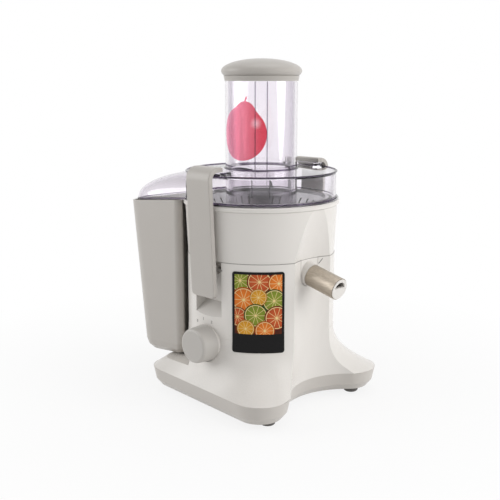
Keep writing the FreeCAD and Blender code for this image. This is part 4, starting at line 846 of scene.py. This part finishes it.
FLOOR_SIZE = 12.0
FLOOR_Z = -0.0005
FLOOR_GREY = (0.9, 0.9, 0.9, 1.0)
# the floor's glow grows to full white with the distance from the machine
FADE_NEAR, FADE_FAR = 0.15, 0.5
GLOW_NEAR, GLOW_FAR = 0.84, 1.0
SKY_LIGHT = 0.38
SKY_SEEN_MORE = 0.62


def looked_at(tree):
    # 1 for rays of the camera and those that come by gloss or through clear plastic
    rays = tree.nodes.new("ShaderNodeLightPath").outputs
    straight = calc(tree, "MAXIMUM", rays["Is Camera Ray"], rays["Is Transmission Ray"])
    return calc(tree, "MAXIMUM", straight, rays["Is Glossy Ray"])


def stage_material():
    # white where the camera, metal and clear plastic look straight at it
    material, tree, shader = new_material("pale_floor")
    shader["Base Color"].default_value = FLOOR_GREY
    shader["Roughness"].default_value = 0.9
    far = vector_calc(tree, "LENGTH", tree.nodes.new("ShaderNodeTexCoord").outputs["Object"])["Value"]
    fade = tree.nodes.new("ShaderNodeMapRange")
    fade.inputs["From Min"].default_value = FADE_NEAR
    fade.inputs["From Max"].default_value = FADE_FAR
    fade.inputs["To Min"].default_value = GLOW_NEAR
    fade.inputs["To Max"].default_value = GLOW_FAR
    tree.links.new(far, fade.inputs["Value"])
    glow = tree.nodes.new("ShaderNodeEmission")
    blend = tree.nodes.new("ShaderNodeMixShader")
    tree.links.new(calc(tree, "MULTIPLY", looked_at(tree), fade.outputs["Result"]), blend.inputs[0])
    tree.links.new(tree.nodes["Principled BSDF"].outputs["BSDF"], blend.inputs[1])
    tree.links.new(glow.outputs["Emission"], blend.inputs[2])
    tree.links.new(blend.outputs["Shader"], tree.nodes["Material Output"].inputs["Surface"])
    return material


bpy.ops.object.select_all(action="DESELECT")
bpy.ops.mesh.primitive_plane_add(size=FLOOR_SIZE, location=(0, 0, FLOOR_Z))
floor = bpy.context.object
floor.name = "floor"
floor.data.materials.append(stage_material())

world = bpy.data.worlds.new("studio")
bpy.context.scene.world = world
world.use_nodes = True
sky = world.node_tree
back = sky.nodes["Background"]
back.inputs["Color"].default_value = (1.0, 1.0, 1.0, 1.0)
sky.links.new(calc(sky, "MULTIPLY_ADD", looked_at(sky), SKY_SEEN_MORE, SKY_LIGHT), back.inputs["Strength"])

MIDDLE = Vector((0.0, 0.0, 0.2))


def lamp(name, place, size, power, gloss):
    # a round soft lamp turned to the machine's middle, which the camera doesn't see
    # gloss says whether pieces mirror it; the key would whiten the edges in front of it
    data = bpy.data.lights.new(name, "AREA")
    data.shape = "DISK"
    data.size = size
    data.energy = power
    item = bpy.data.objects.new(name, data)
    bpy.context.collection.objects.link(item)
    item.visible_camera = False
    item.visible_glossy = gloss
    item.location = place
    item.rotation_euler = (MIDDLE - Vector(place)).to_track_quat("-Z", "Y").to_euler()


lamp("key_lamp", (1.6, 0.7, 0.8), size=1.5, power=19.0, gloss=False)
lamp("fill_lamp", (-1.2, -1.3, 0.8), size=1.6, power=14.0, gloss=True)
lamp("top_lamp", (0.0, 0.2, 1.9), size=1.6, power=7.0, gloss=True)

EYE_PLACE = (0.6819, -0.6731, 0.3592)
EYE_DIP = 11.45  # degrees below level
EYE_TURN = 45.25  # degrees round, from the machine's front
eye = bpy.data.cameras.new("eye")
eye.lens = 59.85
eye.sensor_width = 36.0
camera = bpy.data.objects.new("eye", eye)
bpy.context.collection.objects.link(camera)
camera.location = EYE_PLACE
camera.rotation_euler = (math.radians(90 - EYE_DIP), 0.0, math.radians(EYE_TURN))
bpy.context.scene.camera = camera
bpy.context.scene.view_settings.view_transform = "Standard"
